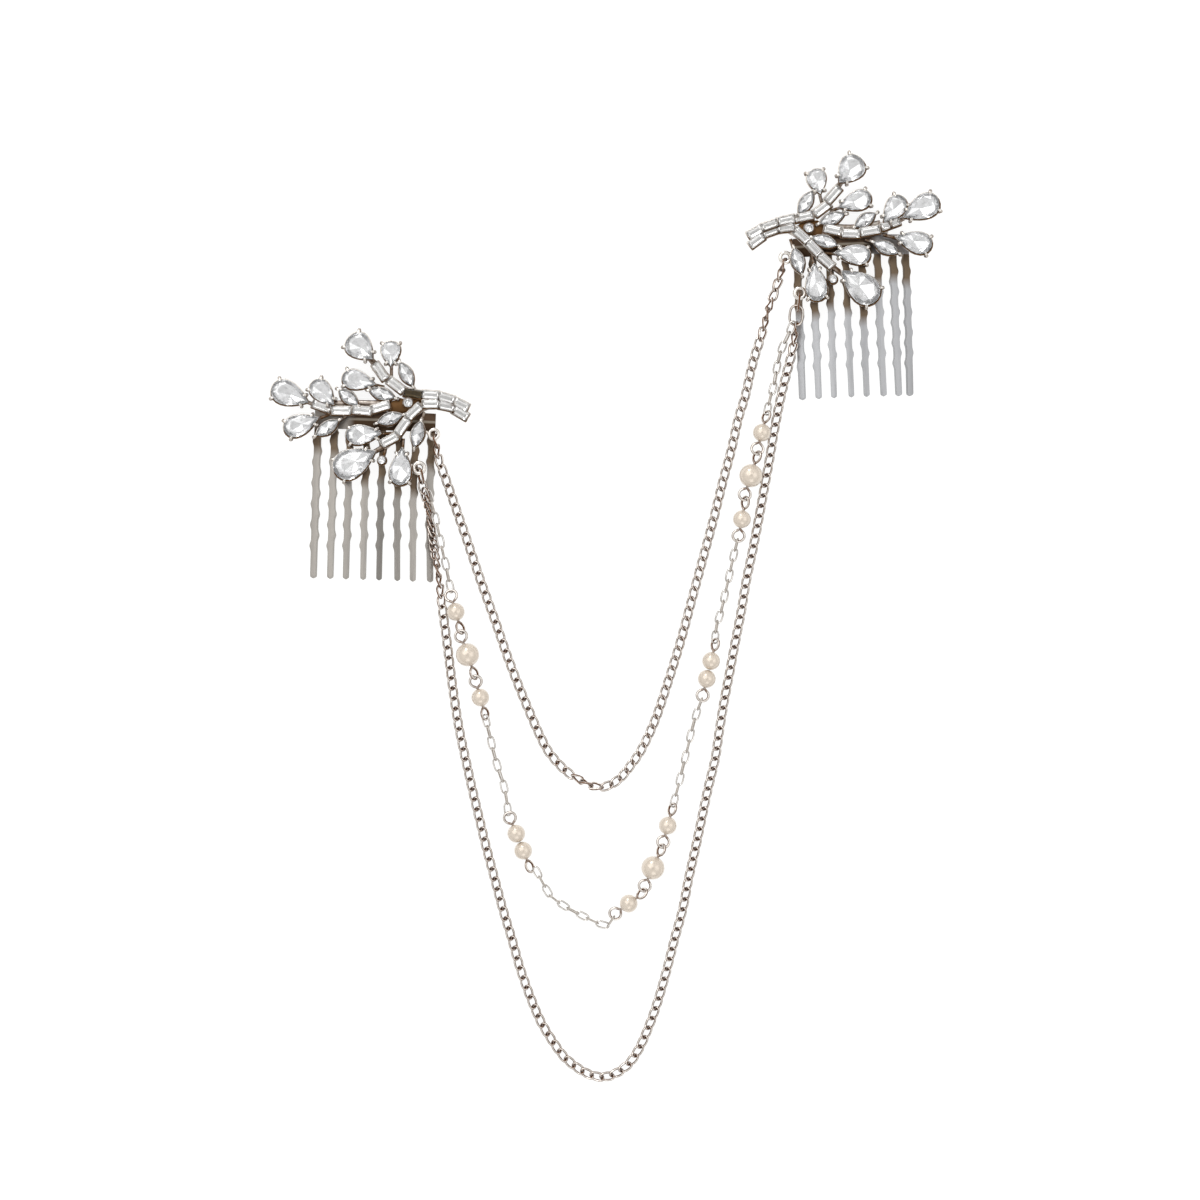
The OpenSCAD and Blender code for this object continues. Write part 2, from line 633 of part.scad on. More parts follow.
module inner_chain() color(silver) translate(MIDDLE) curb_chain(INNER);
module outer_chain() color(silver) translate(MIDDLE) tube(OUTER, curb_w, curb_h);
module pearl_chain() color(silver) translate(MIDDLE) for (f = FINE) tube(f, fine_w, fine_w);
module pearls() color(cream) translate(MIDDLE) for (p = PINS) pearls_of(p);
module pearl_pins() color(silver) translate(MIDDLE) for (p = PINS) eye_pin(p);

for (side = [LEFT, RIGHT]) {
    comb(side);
    setting(side);
    for (i = [1:len(PEARS)])
        one_stone(side, seats_of(side, PEAR)[i - 1]);
    for (i = [1:len(MARQUISES)])
        one_stone(side, seats_of(side, MARQUISE)[i - 1]);
    for (s = seats_of(side, STEP)) one_stone(side, s);
    for (s = seats_of(side, ROUND)) one_stone(side, s);
}
for (r = RINGS) ring(r);
inner_chain();
outer_chain();
pearl_chain();
pearls();
pearl_pins();
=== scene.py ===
"""Bridal hair comb, laid flat: two stone-set sprays on side combs, joined by three swags of chain."""

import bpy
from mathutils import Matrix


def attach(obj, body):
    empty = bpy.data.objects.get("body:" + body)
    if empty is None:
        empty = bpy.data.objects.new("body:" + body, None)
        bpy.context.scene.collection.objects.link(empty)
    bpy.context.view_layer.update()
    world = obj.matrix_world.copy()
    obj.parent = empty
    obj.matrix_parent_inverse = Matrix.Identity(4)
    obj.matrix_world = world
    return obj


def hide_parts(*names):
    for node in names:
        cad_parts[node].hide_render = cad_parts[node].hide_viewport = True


bl_info = {
    "name": "Bridal hair comb",
    "version": (1, 0, 0),
    "blender": (4, 5, 0),
    "location": "3D View > Sidebar > Hair comb",
    "description": "Stone-set sprays on side combs, joined by curb chains and a swag of pearls",
    "category": "Add Mesh",
}

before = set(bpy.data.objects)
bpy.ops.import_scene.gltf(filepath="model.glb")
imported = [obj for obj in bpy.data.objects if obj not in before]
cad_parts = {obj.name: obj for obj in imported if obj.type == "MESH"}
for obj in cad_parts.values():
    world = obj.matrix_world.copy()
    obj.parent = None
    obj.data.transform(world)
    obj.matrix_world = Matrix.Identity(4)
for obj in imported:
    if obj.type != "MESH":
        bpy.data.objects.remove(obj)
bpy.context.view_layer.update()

import random
from math import atan2, copysign, cos, dist, hypot, pi, radians, sin, sqrt, tanh

import bpy
from mathutils import Matrix, Vector

# Shapes are drawn in millimetres and brought to metres as they are placed.
MM = 0.001
# Shift that brings the middle of the whole object to the origin.
MIDDLE = Vector((0.23, -0.25, 0.0))
SIDES = ("left", "right")
UP = Vector((0, 0, 1))

PEAR, MARQUISE, ROUND, STEP = range(4)
# Height that each cut's seat stands above the underside of the spray.
LIFT = (0.5, 0.0, 0.3, 0.2)
# A cup's floor, wall and pocket, and a stone's crown and girdle.
FLOOR_T = 0.4
WALL_T = 0.35
POCKET_D = 1.3
CROWN_H = 0.55
GIRDLE_T = 0.14
# A cup's lip is lower than its pocket is deep, and a stone's girdle starts just above the lip.
LIP_DROP = 0.1
GIRDLE_UP = 0.03
# Widest value of the pear's outline, which its width is divided by.
PEAR_WIDEST = 0.77
# How much smaller than its seat's outline a stone of each cut is, in length and in width.
STONE_LESS = ((0.36, 0.34), (0.4, 0.3), (0.44, 0.44), (0.2, 0.32))
# How dark painted shade makes the lips of the cups, 0 to 1, and how far a stone sits to the upper left in
# its cup.
LIP_SHADE = (0.2, 0.25, 0.45, 0.2)
SHIFT = (-0.03, 0.07)

# Columns: length and width of the cup, stem past the tip, then [x, y, turn] left and right.
PEARS = (
    (9.2, 5.8, 1.2, (-69.9, 49.7, -23), (69.4, 90.8, 207)),
    (7.4, 4.8, 1.4, (-62.6, 50.0, -48), (63.4, 90.5, 233)),
    (7.6, 6.1, 1.2, (-54.3, 60.0, -44), (53.7, 99.2, 230)),
    (6.0, 4.6, 2.0, (-47.7, 58.7, -90), (46.6, 96.7, 284)),
    (8.0, 4.7, 1.6, (-54.7, 52.8, -13), (54.8, 92.3, 199)),
    (8.6, 5.1, 2.6, (-67.4, 43.2, 21), (67.9, 83.5, 165)),
    (8.4, 4.7, 2.6, (-53.6, 40.9, 4), (54.3, 80.7, 175)),
    (10.6, 6.8, 2.0, (-55.6, 34.9, 27), (55.9, 73.8, 141)),
    (8.7, 5.1, 2.0, (-45.5, 33.8, 86), (46.3, 74.5, 96)),
)
MARQUISES = (
    (6.5, 3.2, 1.2, (-44.3, 54.3, -62), (44.1, 92.2, 239)),
    (6.5, 3.1, 1.5, (-49.7, 49.9, -16), (49.9, 88.6, 200)),
    (6.0, 3.1, 0.8, (-57.1, 49.1, -38), (57.2, 88.3, 213)),
    (6.5, 3.1, 1.2, (-47.9, 44.4, 18), (48.3, 83.6, 162)),
    (6.6, 3.2, 1.6, (-61.8, 42.4, 34), (61.8, 82.2, 156)),
    (6.5, 3.3, 2.0, (-41.8, 41.0, 76), (42.3, 79.3, 107)),
)
ROUNDS = (
    (2.5, 2.4, 0.6, (-43.9, 47.9, 30), (44.8, 86.5, 150)),
    (2.2, 2.1, 2.2, (-49.7, 35.2, 75), (50.1, 75.2, 105)),
)
# Columns: length of the stone's channel, then [x, y, turn] left and right.
BAGUETTE_W = 1.45
BAGUETTES = (
    (3.3, (-38.9, 49.7, -4), (39.8, 88.3, 12)),
    (3.2, (-35.4, 49.0, -16), (36.1, 87.2, 20)),
    (3.2, (-32.2, 47.6, -27), (32.9, 85.7, 30)),
    (3.3, (-38.9, 47.7, 0), (39.7, 86.6, 8)),
    (3.2, (-35.4, 47.2, -12), (36.3, 85.8, 20)),
    (3.2, (-32.3, 45.6, -30), (33.2, 83.7, 36)),
    (3.7, (-42.8, 50.0, -9), (43.6, 89.0, 12)),
    (3.7, (-46.6, 51.8, -38), (47.7, 90.8, 37)),
    (3.9, (-50.1, 54.9, -55), (50.1, 93.9, 49)),
    (3.6, (-42.6, 46.0, 43), (43.1, 84.9, -42)),
    (3.6, (-45.1, 42.7, 55), (45.8, 82.1, -46)),
    (3.6, (-48.0, 39.7, 28), (48.5, 79.3, -42)),
    (3.7, (-50.0, 47.0, 17), (50.1, 86.1, -12)),
    (3.8, (-54.1, 46.2, -5), (53.9, 85.3, -2)),
    (3.9, (-58.7, 46.2, 0), (58.3, 85.9, 10)),
    (3.9, (-63.0, 47.1, -20), (62.8, 87.4, 20)),
)
# The stones that look dark, with dark brown foil under smoky glass, as [side, number in the table].
DULL = {(0, 6)}

# Chain loops: side, middle, outside diameter, hole, anchor.
LOOPS = (
    (0, (-38.3, 41.1), 2.9, 1.3, (-41.0, 41.8)),
    (0, (-41.6, 33.6), 3.3, 1.4, (-44.0, 34.4)),
    (1, (39.6, 80.2), 3.1, 1.4, (42.0, 80.8)),
    (1, (42.8, 72.3), 3.1, 1.3, (45.2, 73.2)),
)

# Dark plates where the branches meet, and the wires behind the middle rows, both left and right.
WEBS = (
    ((-48.6, 46.2), (-45.5, 45.8), (-43.2, 45.9), (-41.2, 46.9), (-41.0, 48.6),
     (-42.6, 49.4), (-45.6, 48.9), (-48.6, 48.3)),
    ((42.3, 87.2), (43.3, 85.6), (46.4, 84.6), (48.2, 84.4), (50.6, 84.5),
     (49.4, 86.2), (46.8, 88.4), (43.6, 88.5)),
)
BACK_WIRES = (
    ((-61.6, 47.9), (-58.5, 48.0), (-55.0, 48.1), (-51.8, 48.0), (-48.5, 48.2)),
    ((60.6, 87.9), (58.0, 87.3), (54.0, 86.9), (51.0, 87.0), (48.6, 86.9)),
)

# Combs: middle of the top edge [x, y, turn], width, height, rise of the arch, holding tabs.
COMBS = (
    ((-51.3, 46.3, -2), 27.4, 37.6, 2.2, (-7, 8.5)),
    ((54.3, 85.3, 2.2), 24.9, 36.0, 2.8, (-8.5, 7)),
)
COMB_T = 0.9
# Gap between a comb and its spray.
COMB_GAP = 0.1
# Teeth, left and right. Columns: middle at 20 mm and at 34 mm below the top edge, how far down the
# painted brown reflection of the spray reaches, and how light the tooth is painted below that.
TEETH = (
    ((-12.7, -12.6, 9.3, 1.0), (-8.9, -8.8, 10.2, 1.0), (-5.4, -5.3, 12, 0.9), (-1.7, -1.5, 16.5, 0.98),
     (1.8, 2.0, 15.5, 0.6), (5.4, 5.9, 18.4, 0.78), (8.9, 9.3, 18.2, 1.02), (12.4, 13.0, 12.3, 0.93)),
    ((-11.8, -11.8, 17, 1.0), (-8.4, -8.35, 17.9, 1.0), (-5.0, -5.05, 16.1, 0.98), (-1.4, -1.3, 17.2, 1.0),
     (2.0, 2.05, 19.4, 0.95), (5.6, 5.8, 11, 1.0), (9.1, 9.2, 10.1, 1.0), (12.1, 11.8, 11.2, 0.9)),
)
# Last bump on the right of a tooth, distance between bumps, and how much the rows of bumps turn.
BUMPS = ((27.55, 4.67, 0.035), (26.35, 4.53, 0.0))

# Rings: name, ends of the wire's middle line, half width, radius of the wire, roll.
RINGS = (
    ("left_jump_ring", (-41.6, 33.5, 3.9), (-40.9, 30.2, 3.4), 0.9, 0.27, 60),
    ("right_ring_link", (42.8, 72.4, 4.35), (42.4, 68.3, 4.05), 0.9, 0.25, 90),
    ("right_jump_ring", (42.3, 69.6, 4.0), (41.9, 65.4, 2.8), 1.45, 0.28, 8),
)

# Height of a chain's middle where it lies flat, as at each place below that gives only x and y.
LYING_Z = 0.62
# Middle of the shortest chain.
INNER = (
    (-37.9, 39.5, 3.5), (-37.2, 35.4, 2.5), (-35.7, 31.0, 1.3), (-34.2, 26.6, 0.7), (-31.1, 17.7),
    (-28.1, 8.8), (-24.9, -0.1), (-21.8, -9.0), (-18.3, -17.9), (-14.4, -26.8), (-11.9, -30.8),
    (-8.3, -34.3, 0.95), (-3.9, -36.7, 1.12), (-0.9, -37.3, 1.15), (1.8, -36.3, 0.85), (3.6, -34.8),
    (5.2, -32.8), (7.8, -29.0), (10.9, -22.3), (13.9, -13.4), (16.6, -4.6), (19.0, 4.3), (21.4, 13.2),
    (23.8, 22.1), (26.0, 31.0), (27.8, 37.7), (29.4, 44.8), (30.9, 49.7), (32.1, 55.0, 0.7),
    (33.2, 59.2, 1.05), (34.8, 64.1, 1.2), (36.0, 69.0, 2.0), (37.6, 73.4, 3.1), (39.2, 78.6, 4.1),
)
# Where along it the shortest chain is kinked, and how many links of the longest chain are twisted.
KINK = 0.396
TWISTED = 15
# How many links are bunched at its start, and how much of its pitch each of them gives up.
BUNCHED = 10
BUNCH = 0.27
# A curb link's twist, how straight its sides are, and their slant.
CURB_TWIST = -0.34
CURB_BLUNT = 1.9
CURB_SLANT = 20
# Middle of the longest chain.
OUTER = (
    (-40.8, 29.4, 3.2), (-40.2, 27.3, 2.8), (-39.2, 22.1, 2.0), (-38.3, 15.4, 2.0), (-37.2, 8.8, 1.9),
    (-36.5, 2.1, 1.2), (-35.6, -4.6, 0.9), (-34.8, -11.2), (-33.9, -17.9), (-32.8, -24.6),
    (-31.4, -31.2), (-29.9, -37.9), (-28.3, -44.6), (-26.7, -51.2), (-24.9, -57.9), (-23.1, -64.6),
    (-21.1, -71.2), (-19.2, -77.9), (-16.8, -84.6), (-14.4, -90.1), (-11.2, -95.2), (-8.6, -98.3),
    (-4.3, -101.2), (0, -101.9), (4.3, -99.7), (7.2, -95.8), (9.7, -90.1), (11.6, -84.6),
    (13.5, -77.9), (15.2, -71.2), (17.0, -64.6), (18.3, -57.9), (19.8, -51.2), (21.2, -44.6),
    (22.6, -37.9), (24.2, -31.2), (25.2, -24.6), (26.3, -17.9), (27.6, -11.2), (28.8, -4.6),
    (30.1, 2.1), (31.2, 8.8), (32.6, 15.4), (33.9, 22.1), (35.1, 28.8), (36.3, 35.4), (37.4, 42.0),
    (38.7, 48.8), (40.0, 54.3, 1.0), (41.4, 60.0, 1.9), (42.0, 64.6, 2.5),
)
# Rolls of the fine chain's links in turn, how far they may tilt from them, the seed of the tilts and
# how many are drawn for each stretch, which is more than it has links.
FINE_ROLLS = (10, 74)
FINE_TILT = 6
SEED = 5
TILTS = 40
# The fine chain's six stretches.
FINE = (
    ((-39.3, 27.3, 3.5), (-38.4, 24.3, 3.4), (-37.6, 21.0, 3.3), (-36.9, 17.7, 3.2),
     (-36.2, 14.3, 2.9), (-35.6, 11.7, 2.5), (-35.1, 8.8, 2.0), (-34.8, 7.4, 1.7)),
    ((-26.8, -22.6, 1.4), (-26.0, -25.9, 0.9), (-25.2, -29.4, 0.8), (-24.2, -33.0, 0.8),
     (-23.0, -36.6, 0.8), (-22.3, -39.9, 1.0), (-22.0, -42.2, 1.6)),
    ((-15.4, -56.3, 1.6), (-13.9, -59.2, 0.9), (-12.2, -61.8, 0.8), (-8.8, -64.2, 0.8),
     (-5.0, -66.2, 0.8), (-1.8, -67.7, 0.8), (0.2, -68.1, 0.9), (1.0, -67.2, 1.3)),
    ((15.1, -40.3, 1.6), (16.3, -35.9, 0.9), (17.2, -32.2, 0.8), (18.0, -29.0, 0.8),
     (18.8, -25.6, 0.8), (19.8, -21.8, 0.9), (20.8, -18.8, 1.7)),
    ((24.2, -3.9, 1.6), (24.6, -1.2, 0.9), (25.6, 2.1, 0.8), (26.5, 6.0, 0.8),
     (27.4, 9.9, 0.8), (28.2, 13.7, 0.9), (28.9, 16.6, 1.4)),
    ((35.9, 46.9, 1.4), (36.4, 49.0, 0.9), (37.4, 52.8, 0.8), (38.0, 56.3, 1.0),
     (38.9, 60.0, 2.2), (40.2, 62.9, 3.1), (41.0, 64.8, 3.4)),
)

# Diameters of the pearls, radius of their bore, and the gap between two on a pin.
SMALL, LARGE = 4.0, 5.2
BORE_R = 0.3
BEAD_GAP = 0.1
# Pearl strands: middle of the first eye, then each pin's turn, slope, pearls and next eye's way.
STRANDS = (
    ((-34.6, 5.3, 1.6), ((-73.5, 8, (SMALL,), -86), (-70.5, 0, (LARGE,), -79), (-74.4, -8, (SMALL,), 0))),
    ((-21.5, -44.1, 2.0), ((-67.9, 0, (SMALL, SMALL), 0),)),
    ((1.95, -65.45, 1.6), ((37.6, 8, (SMALL,), 71), (65.5, 0, (LARGE,), 75), (74.3, -8, (SMALL,), 0))),
    ((21.4, -16.9, 2.0), ((76.3, 0, (SMALL, SMALL), 0),)),
    ((29.4, 18.6, 1.6), ((79.2, 8, (SMALL,), 93), (72, 0, (LARGE,), 87), (74.4, -8, (SMALL,), 0))),
)
# Eyes of the pins: radius, wire, reach to the pearl, step to the next eye, rolls at both ends.
EYE_R = 1.25
EYE_WIRE_R = 0.285
EYE_NECK = 1.8
EYE_STEP = 1.78
EYE_ROLLS = (8, -60)


# Sizes and colours.

class CombSizes(bpy.types.PropertyGroup):
    """Sizes of the two side combs."""
    bar: bpy.props.FloatProperty(name="Bar", description="Height of the bar, in mm", default=4.2)
    top_width: bpy.props.FloatProperty(name="Tooth at the bar", description="Width, in mm", default=1.34)
    tip_width: bpy.props.FloatProperty(name="Tooth at the tip", description="Width, in mm", default=1.26)
    bump: bpy.props.FloatProperty(name="Bumps", description="Height of a tooth's bumps, in mm", default=0.33)


class ChainSizes(bpy.types.PropertyGroup):
    """Sizes of the chains' links."""
    curb_length: bpy.props.FloatProperty(name="Curb link", description="Length, in mm", default=3.4)
    curb_width: bpy.props.FloatProperty(name="Curb width", description="Width, in mm", default=2.24)
    curb_wire: bpy.props.FloatProperty(name="Curb wire", description="Diameter, in mm", default=0.52)
    curb_pitch: bpy.props.FloatProperty(name="Curb pitch", description="Pitch, in mm", default=2.3)
    fine_length: bpy.props.FloatProperty(name="Fine link", description="Length, in mm", default=3.32)
    fine_width: bpy.props.FloatProperty(name="Fine width", description="Width, in mm", default=1.85)
    fine_wire: bpy.props.FloatProperty(name="Fine wire", description="Diameter, in mm", default=0.4)
    fine_pitch: bpy.props.FloatProperty(name="Fine pitch", description="Pitch, in mm", default=2.45)


class Finishes(bpy.types.PropertyGroup):
    """Colours of the materials."""
    silver: bpy.props.FloatVectorProperty(
        name="Silver", description="Plated metal where it is clean", subtype="COLOR", size=3,
        default=(0.80, 0.762, 0.712))
    # tarnish and painted shade share this colour
    tarnish_and_shade: bpy.props.FloatVectorProperty(
        name="Tarnish and shade", description="Plated metal where tarnished and in painted shade", subtype="COLOR", size=3,
        default=(0.125, 0.066, 0.028))
    satin: bpy.props.FloatVectorProperty(
        name="Satin", description="Metal of the combs", subtype="COLOR", size=3,
        default=(0.41, 0.385, 0.355))
    pearl: bpy.props.FloatVectorProperty(
        name="Pearl", description="Body colour of the pearls", subtype="COLOR", size=3,
        default=(0.665, 0.58, 0.485))


# Helpers for modelling.

def free():
    """Nothing selected, object mode."""
    if bpy.context.object and bpy.context.object.mode != "OBJECT":
        bpy.ops.object.mode_set(mode="OBJECT")
    bpy.ops.object.select_all(action="DESELECT")


def alone(obj):
    """Only this piece selected, and active."""
    free()
    obj.select_set(True)
    bpy.context.view_layer.objects.active = obj


def edit(obj):
    alone(obj)
    bpy.ops.object.mode_set(mode="EDIT")


def finish_edit():
    bpy.ops.object.mode_set(mode="OBJECT")


def all_picked():
    bpy.ops.mesh.select_all(action="SELECT")


def rim_picked():
    """Selects the open edge of the mesh that is being edited."""
    bpy.ops.mesh.select_all(action="DESELECT")
    bpy.ops.mesh.select_mode(type="EDGE")
    bpy.ops.mesh.select_non_manifold()


def picked(obj, test, kind="FACE"):
    """Edit mode with the faces that pass a test selected, or the edges whose two ends pass it."""
    alone(obj)
    me = obj.data
    for group in (me.vertices, me.edges, me.polygons):
        group.foreach_set("select", [False] * len(group))
    if kind == "FACE":
        for f in me.polygons:
            f.select = test(f)
    else:
        for e in me.edges:
            e.select = all(test(me.vertices[i].co) for i in e.vertices)
    bpy.context.tool_settings.mesh_select_mode = (False, kind == "EDGE", kind == "FACE")
    bpy.ops.object.mode_set(mode="EDIT")


def grown(move, about=(0, 0, 0), size=None):
    """Extrudes the selection by a move, then sizes it about a point."""
    bpy.ops.mesh.extrude_region_move(TRANSFORM_OT_translate={"value": move})
    if size:
        bpy.ops.transform.resize(value=size, center_override=about)


def thickened(obj, thickness, way):
    """Makes a sheet solid, upwards if the way is 1 and downwards if it is -1."""
    sheet = obj.modifiers.new("sheet", "SOLIDIFY")
    sheet.thickness = thickness
    sheet.offset = way
    bpy.ops.object.modifier_apply(modifier="sheet")


def rounded(obj, width, segments, degrees=None):
    """Rounds a piece's edges, or only those sharper than so many degrees."""
    bevel = obj.modifiers.new("edges", "BEVEL")
    bevel.width = width
    bevel.segments = segments
    if degrees:
        bevel.limit_method = "ANGLE"
        bevel.angle_limit = radians(degrees)
    bpy.ops.object.modifier_apply(modifier="edges")


def primitive(maker, **values):
    """A new primitive, whose place goes into its mesh."""
    free()
    maker(**values)
    bpy.ops.object.transform_apply(location=True)
    return bpy.context.object


def filled(outline, z):
    """A filled circle whose rim is moved to an outline."""
    free()
    bpy.ops.mesh.primitive_circle_add(vertices=len(outline), radius=1, fill_type="NGON")
    obj = bpy.context.object
    for v, p in zip(obj.data.vertices, outline):
        v.co = (p[0], p[1], z)
    return obj


def mould(obj, shape):
    """Moves each vertex where shape says."""
    for v in obj.data.vertices:
        v.co = shape(v.co.copy())
    return obj


def painted_stain_and_shade(obj, amount):
    """Paints how much tarnish, stain and painted shade each vertex has, from 0 to 1: a number, or a rule for
    its place.
    """
    layer = obj.data.attributes.get("stain_and_shade") or obj.data.attributes.new("stain_and_shade", "FLOAT", "POINT")
    for v in obj.data.vertices:
        value = amount(v.co) if callable(amount) else amount
        layer.data[v.index].value = max(0.0, min(1.0, value))
    return obj


def copy_at(obj, matrix):
    """A copy of a piece with its own mesh, moved by a matrix that goes into the mesh."""
    new = obj.copy()
    new.data = obj.data.copy()
    new.data.transform(matrix)
    bpy.context.collection.objects.link(new)
    return new


def drop(*objs):
    for obj in objs:
        bpy.data.objects.remove(obj)


def joined(parts, name):
    free()
    for part in parts:
        part.select_set(True)
    bpy.context.view_layer.objects.active = parts[0]
    if len(parts) > 1:
        bpy.ops.object.join()
    obj = bpy.context.object
    obj.name = name
    obj.data.name = name
    return obj


def to_metres(obj):
    obj.data.transform(Matrix.Translation(MIDDLE * MM) @ Matrix.Scale(MM, 4))
    return obj


def handed_over(obj, slot, *nodes):
    """The piece rides on the object and stands for its solids."""
    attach(obj, "root")
    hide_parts(*nodes)


def finished(obj, degrees, finish, slot, node):
    """Brings a piece to metres, smooths it up to an angle, gives it its finish and hands it over."""
    to_metres(obj)
    alone(obj)
    bpy.ops.object.shade_smooth_by_angle(angle=radians(degrees))
    obj.data.materials.clear()
    obj.data.materials.append(material(finish))
    handed_over(obj, slot, node)


def wire(points, radius, sides=8):
    """Round wire along points."""
    curve = bpy.data.curves.new("wire", "CURVE")
    curve.dimensions = "3D"
    curve.bevel_depth = radius
    curve.bevel_resolution = sides // 2 - 2
    curve.use_fill_caps = True
    spline = curve.splines.new("POLY")
    spline.points.add(len(points) - 1)
    for q, p in zip(spline.points, points):
        q.co = (*p, 1)
    obj = bpy.data.objects.new("wire", curve)
    bpy.context.collection.objects.link(obj)
    alone(obj)
    bpy.ops.object.convert(target="MESH")
    return bpy.context.object


# Outlines and places.

def around(n):
    """The angles of n corners round a stone, from its tip."""
    return [2 * pi * i / n for i in range(n)]


def pear_outline(l, w, n=24):
    return [(l / 2 * cos(t), w / 2 * sin(t) * sin(t / 2) / PEAR_WIDEST) for t in around(n)]


def marquise_outline(l, w, n=20):
    return [(l / 2 * cos(t), w / 2 * sin(t) * abs(sin(t))) for t in around(n)]


def round_outline(l, w, n=16):
    return [(l / 2 * cos(t), w / 2 * sin(t)) for t in around(n)]


def step_outline(l, w, n=8):
    """A rectangle with its corners cut off."""
    c = min(l, w) * 0.08
    x, y = l / 2, w / 2
    return [(x, -y + c), (x, y - c), (x - c, y), (-x + c, y),
            (-x, y - c), (-x, -y + c), (-x + c, -y), (x - c, -y)]


OUTLINES = (pear_outline, marquise_outline, round_outline, step_outline)


def seats(side):
    """Each stone's seat: cut, number, length, width, stem, [x, y, turn]."""
    rows = [(cut, i, *r[:3], r[3 + side])
            for cut, table in ((PEAR, PEARS), (MARQUISE, MARQUISES), (ROUND, ROUNDS))
            for i, r in enumerate(table)]
    return rows + [(STEP, i, r[0] + 2 * WALL_T, BAGUETTE_W + 2 * WALL_T, 0, r[1 + side])
                   for i, r in enumerate(BAGUETTES)]


def base_z(side):
    """Height of a spray's underside, just clear of its comb."""
    return COMBS[side][3] + COMB_T + COMB_GAP


def cup_top(cut):
    """Height of a cup's lip above the underside of the spray."""
    return LIFT[cut] + FLOOR_T + POCKET_D - LIP_DROP


def at(place, z=0.0):
    return Matrix.Translation((place[0], place[1], z)) @ Matrix.Rotation(radians(place[2]), 4, "Z")


class Route:
    """A smooth route that is walked by length, with n points to each of its stretches."""

    def __init__(self, points, n=6):
        p = [Vector(q) if len(q) > 2 else Vector((*q, LYING_Z)) for q in points]
        self.p = []
        for i in range(len(p) - 1):
            a, b, c, d = p[max(0, i - 1)], p[i], p[i + 1], p[min(len(p) - 1, i + 2)]
            for k in range(n):
                u = k / n
                self.p.append(b + u * (c - a) / 2 + u * u * (2 * a - 5 * b + 4 * c - d) / 2
                              + u * u * u * (3 * b - 3 * c + d - a) / 2)
        self.p.append(p[-1])
        self.s = [0.0]
        for a, b in zip(self.p, self.p[1:]):
            self.s.append(self.s[-1] + (b - a).length)
        self.total = self.s[-1]

    def at(self, d):
        d = max(0.0, min(self.total, d))
        for i in range(len(self.s) - 1):
            if d <= self.s[i + 1]:
                break
        u = (d - self.s[i]) / max(1e-9, self.s[i + 1] - self.s[i])
        return self.p[i].lerp(self.p[i + 1], u)

    def ahead(self, d, reach=0.8):
        return (self.at(d + reach) - self.at(d - reach)).normalized()


def axes(where, ahead, roll):
    """Matrix that lays a link's X along the chain, rolled about it."""
    side = UP.cross(ahead).normalized()
    up = ahead.cross(side)
    r = radians(roll)
    y = side * cos(r) + up * sin(r)
    z = up * cos(r) - side * sin(r)
    return Matrix.Translation(where) @ Matrix((ahead, y, z)).transposed().to_4x4()


# Materials. Their noise is given in the piece's own metres.

def feed(tree, node, values):
    """Sets a node's properties or inputs by name or number, and links those given as a socket."""
    for key, value in values.items():
        if isinstance(key, str) and hasattr(node, key):
            setattr(node, key, value)
        elif hasattr(value, "is_output"):
            tree.links.new(value, node.inputs[key])
        else:
            node.inputs[key].default_value = value
    return node


def add(tree, kind, **values):
    return feed(tree, tree.nodes.new(kind), values)


def mixed(tree, factor, a, b, kind="MIX"):
    node = add(tree, "ShaderNodeMix", data_type="RGBA", blend_type=kind)
    return feed(tree, node, {0: factor, 6: a, 7: b}).outputs[2]


def product(tree, a, b):
    return mixed(tree, 1.0, a, b, "MULTIPLY")


def maths(tree, kind, a, b, clamp=False):
    node = add(tree, "ShaderNodeMath", operation=kind, use_clamp=clamp)
    return feed(tree, node, {0: a, 1: b}).outputs[0]


def scaled(tree, value, gain, base, clamp=False):
    """The value times a gain, on top of a base."""
    return maths(tree, "ADD", maths(tree, "MULTIPLY", value, gain), base, clamp)


def noise(tree, scale, detail, roughness=0.5, place=None):
    place = place or add(tree, "ShaderNodeTexCoord").outputs["Object"]
    return add(tree, "ShaderNodeTexNoise", Vector=place, Scale=scale, Detail=detail,
               Roughness=roughness).outputs["Fac"]


def ramp(tree, value, stops, kind="LINEAR"):
    """Colours or greys along a value, from stops of [place, colour]."""
    node = add(tree, "ShaderNodeValToRGB", Fac=value)
    node.color_ramp.interpolation = kind
    elements = node.color_ramp.elements
    while len(elements) < len(stops):
        elements.new(0.5)
    for element, (place, colour) in zip(elements, stops):
        element.position = place
        element.color = (colour, colour, colour, 1) if isinstance(colour, float) else (*colour, 1)
    return node.outputs[0]


def painted(tree):
    """How much tarnish, stain and painted shade a place has, as painted on the mesh."""
    return add(tree, "ShaderNodeAttribute", attribute_name="stain_and_shade").outputs["Fac"]


def bumped(tree, shader, height, strength, distance):
    bump = add(tree, "ShaderNodeBump", Strength=strength, Distance=distance, Height=height)
    feed(tree, shader, {"Normal": bump.outputs["Normal"]})


def blank(name, metallic=0.0):
    """A new material, its nodes and its shader."""
    mat = bpy.data.materials.new(name)
    mat.use_nodes = True
    shader = mat.node_tree.nodes["Principled BSDF"]
    shader.inputs["Metallic"].default_value = metallic
    return mat, mat.node_tree, shader


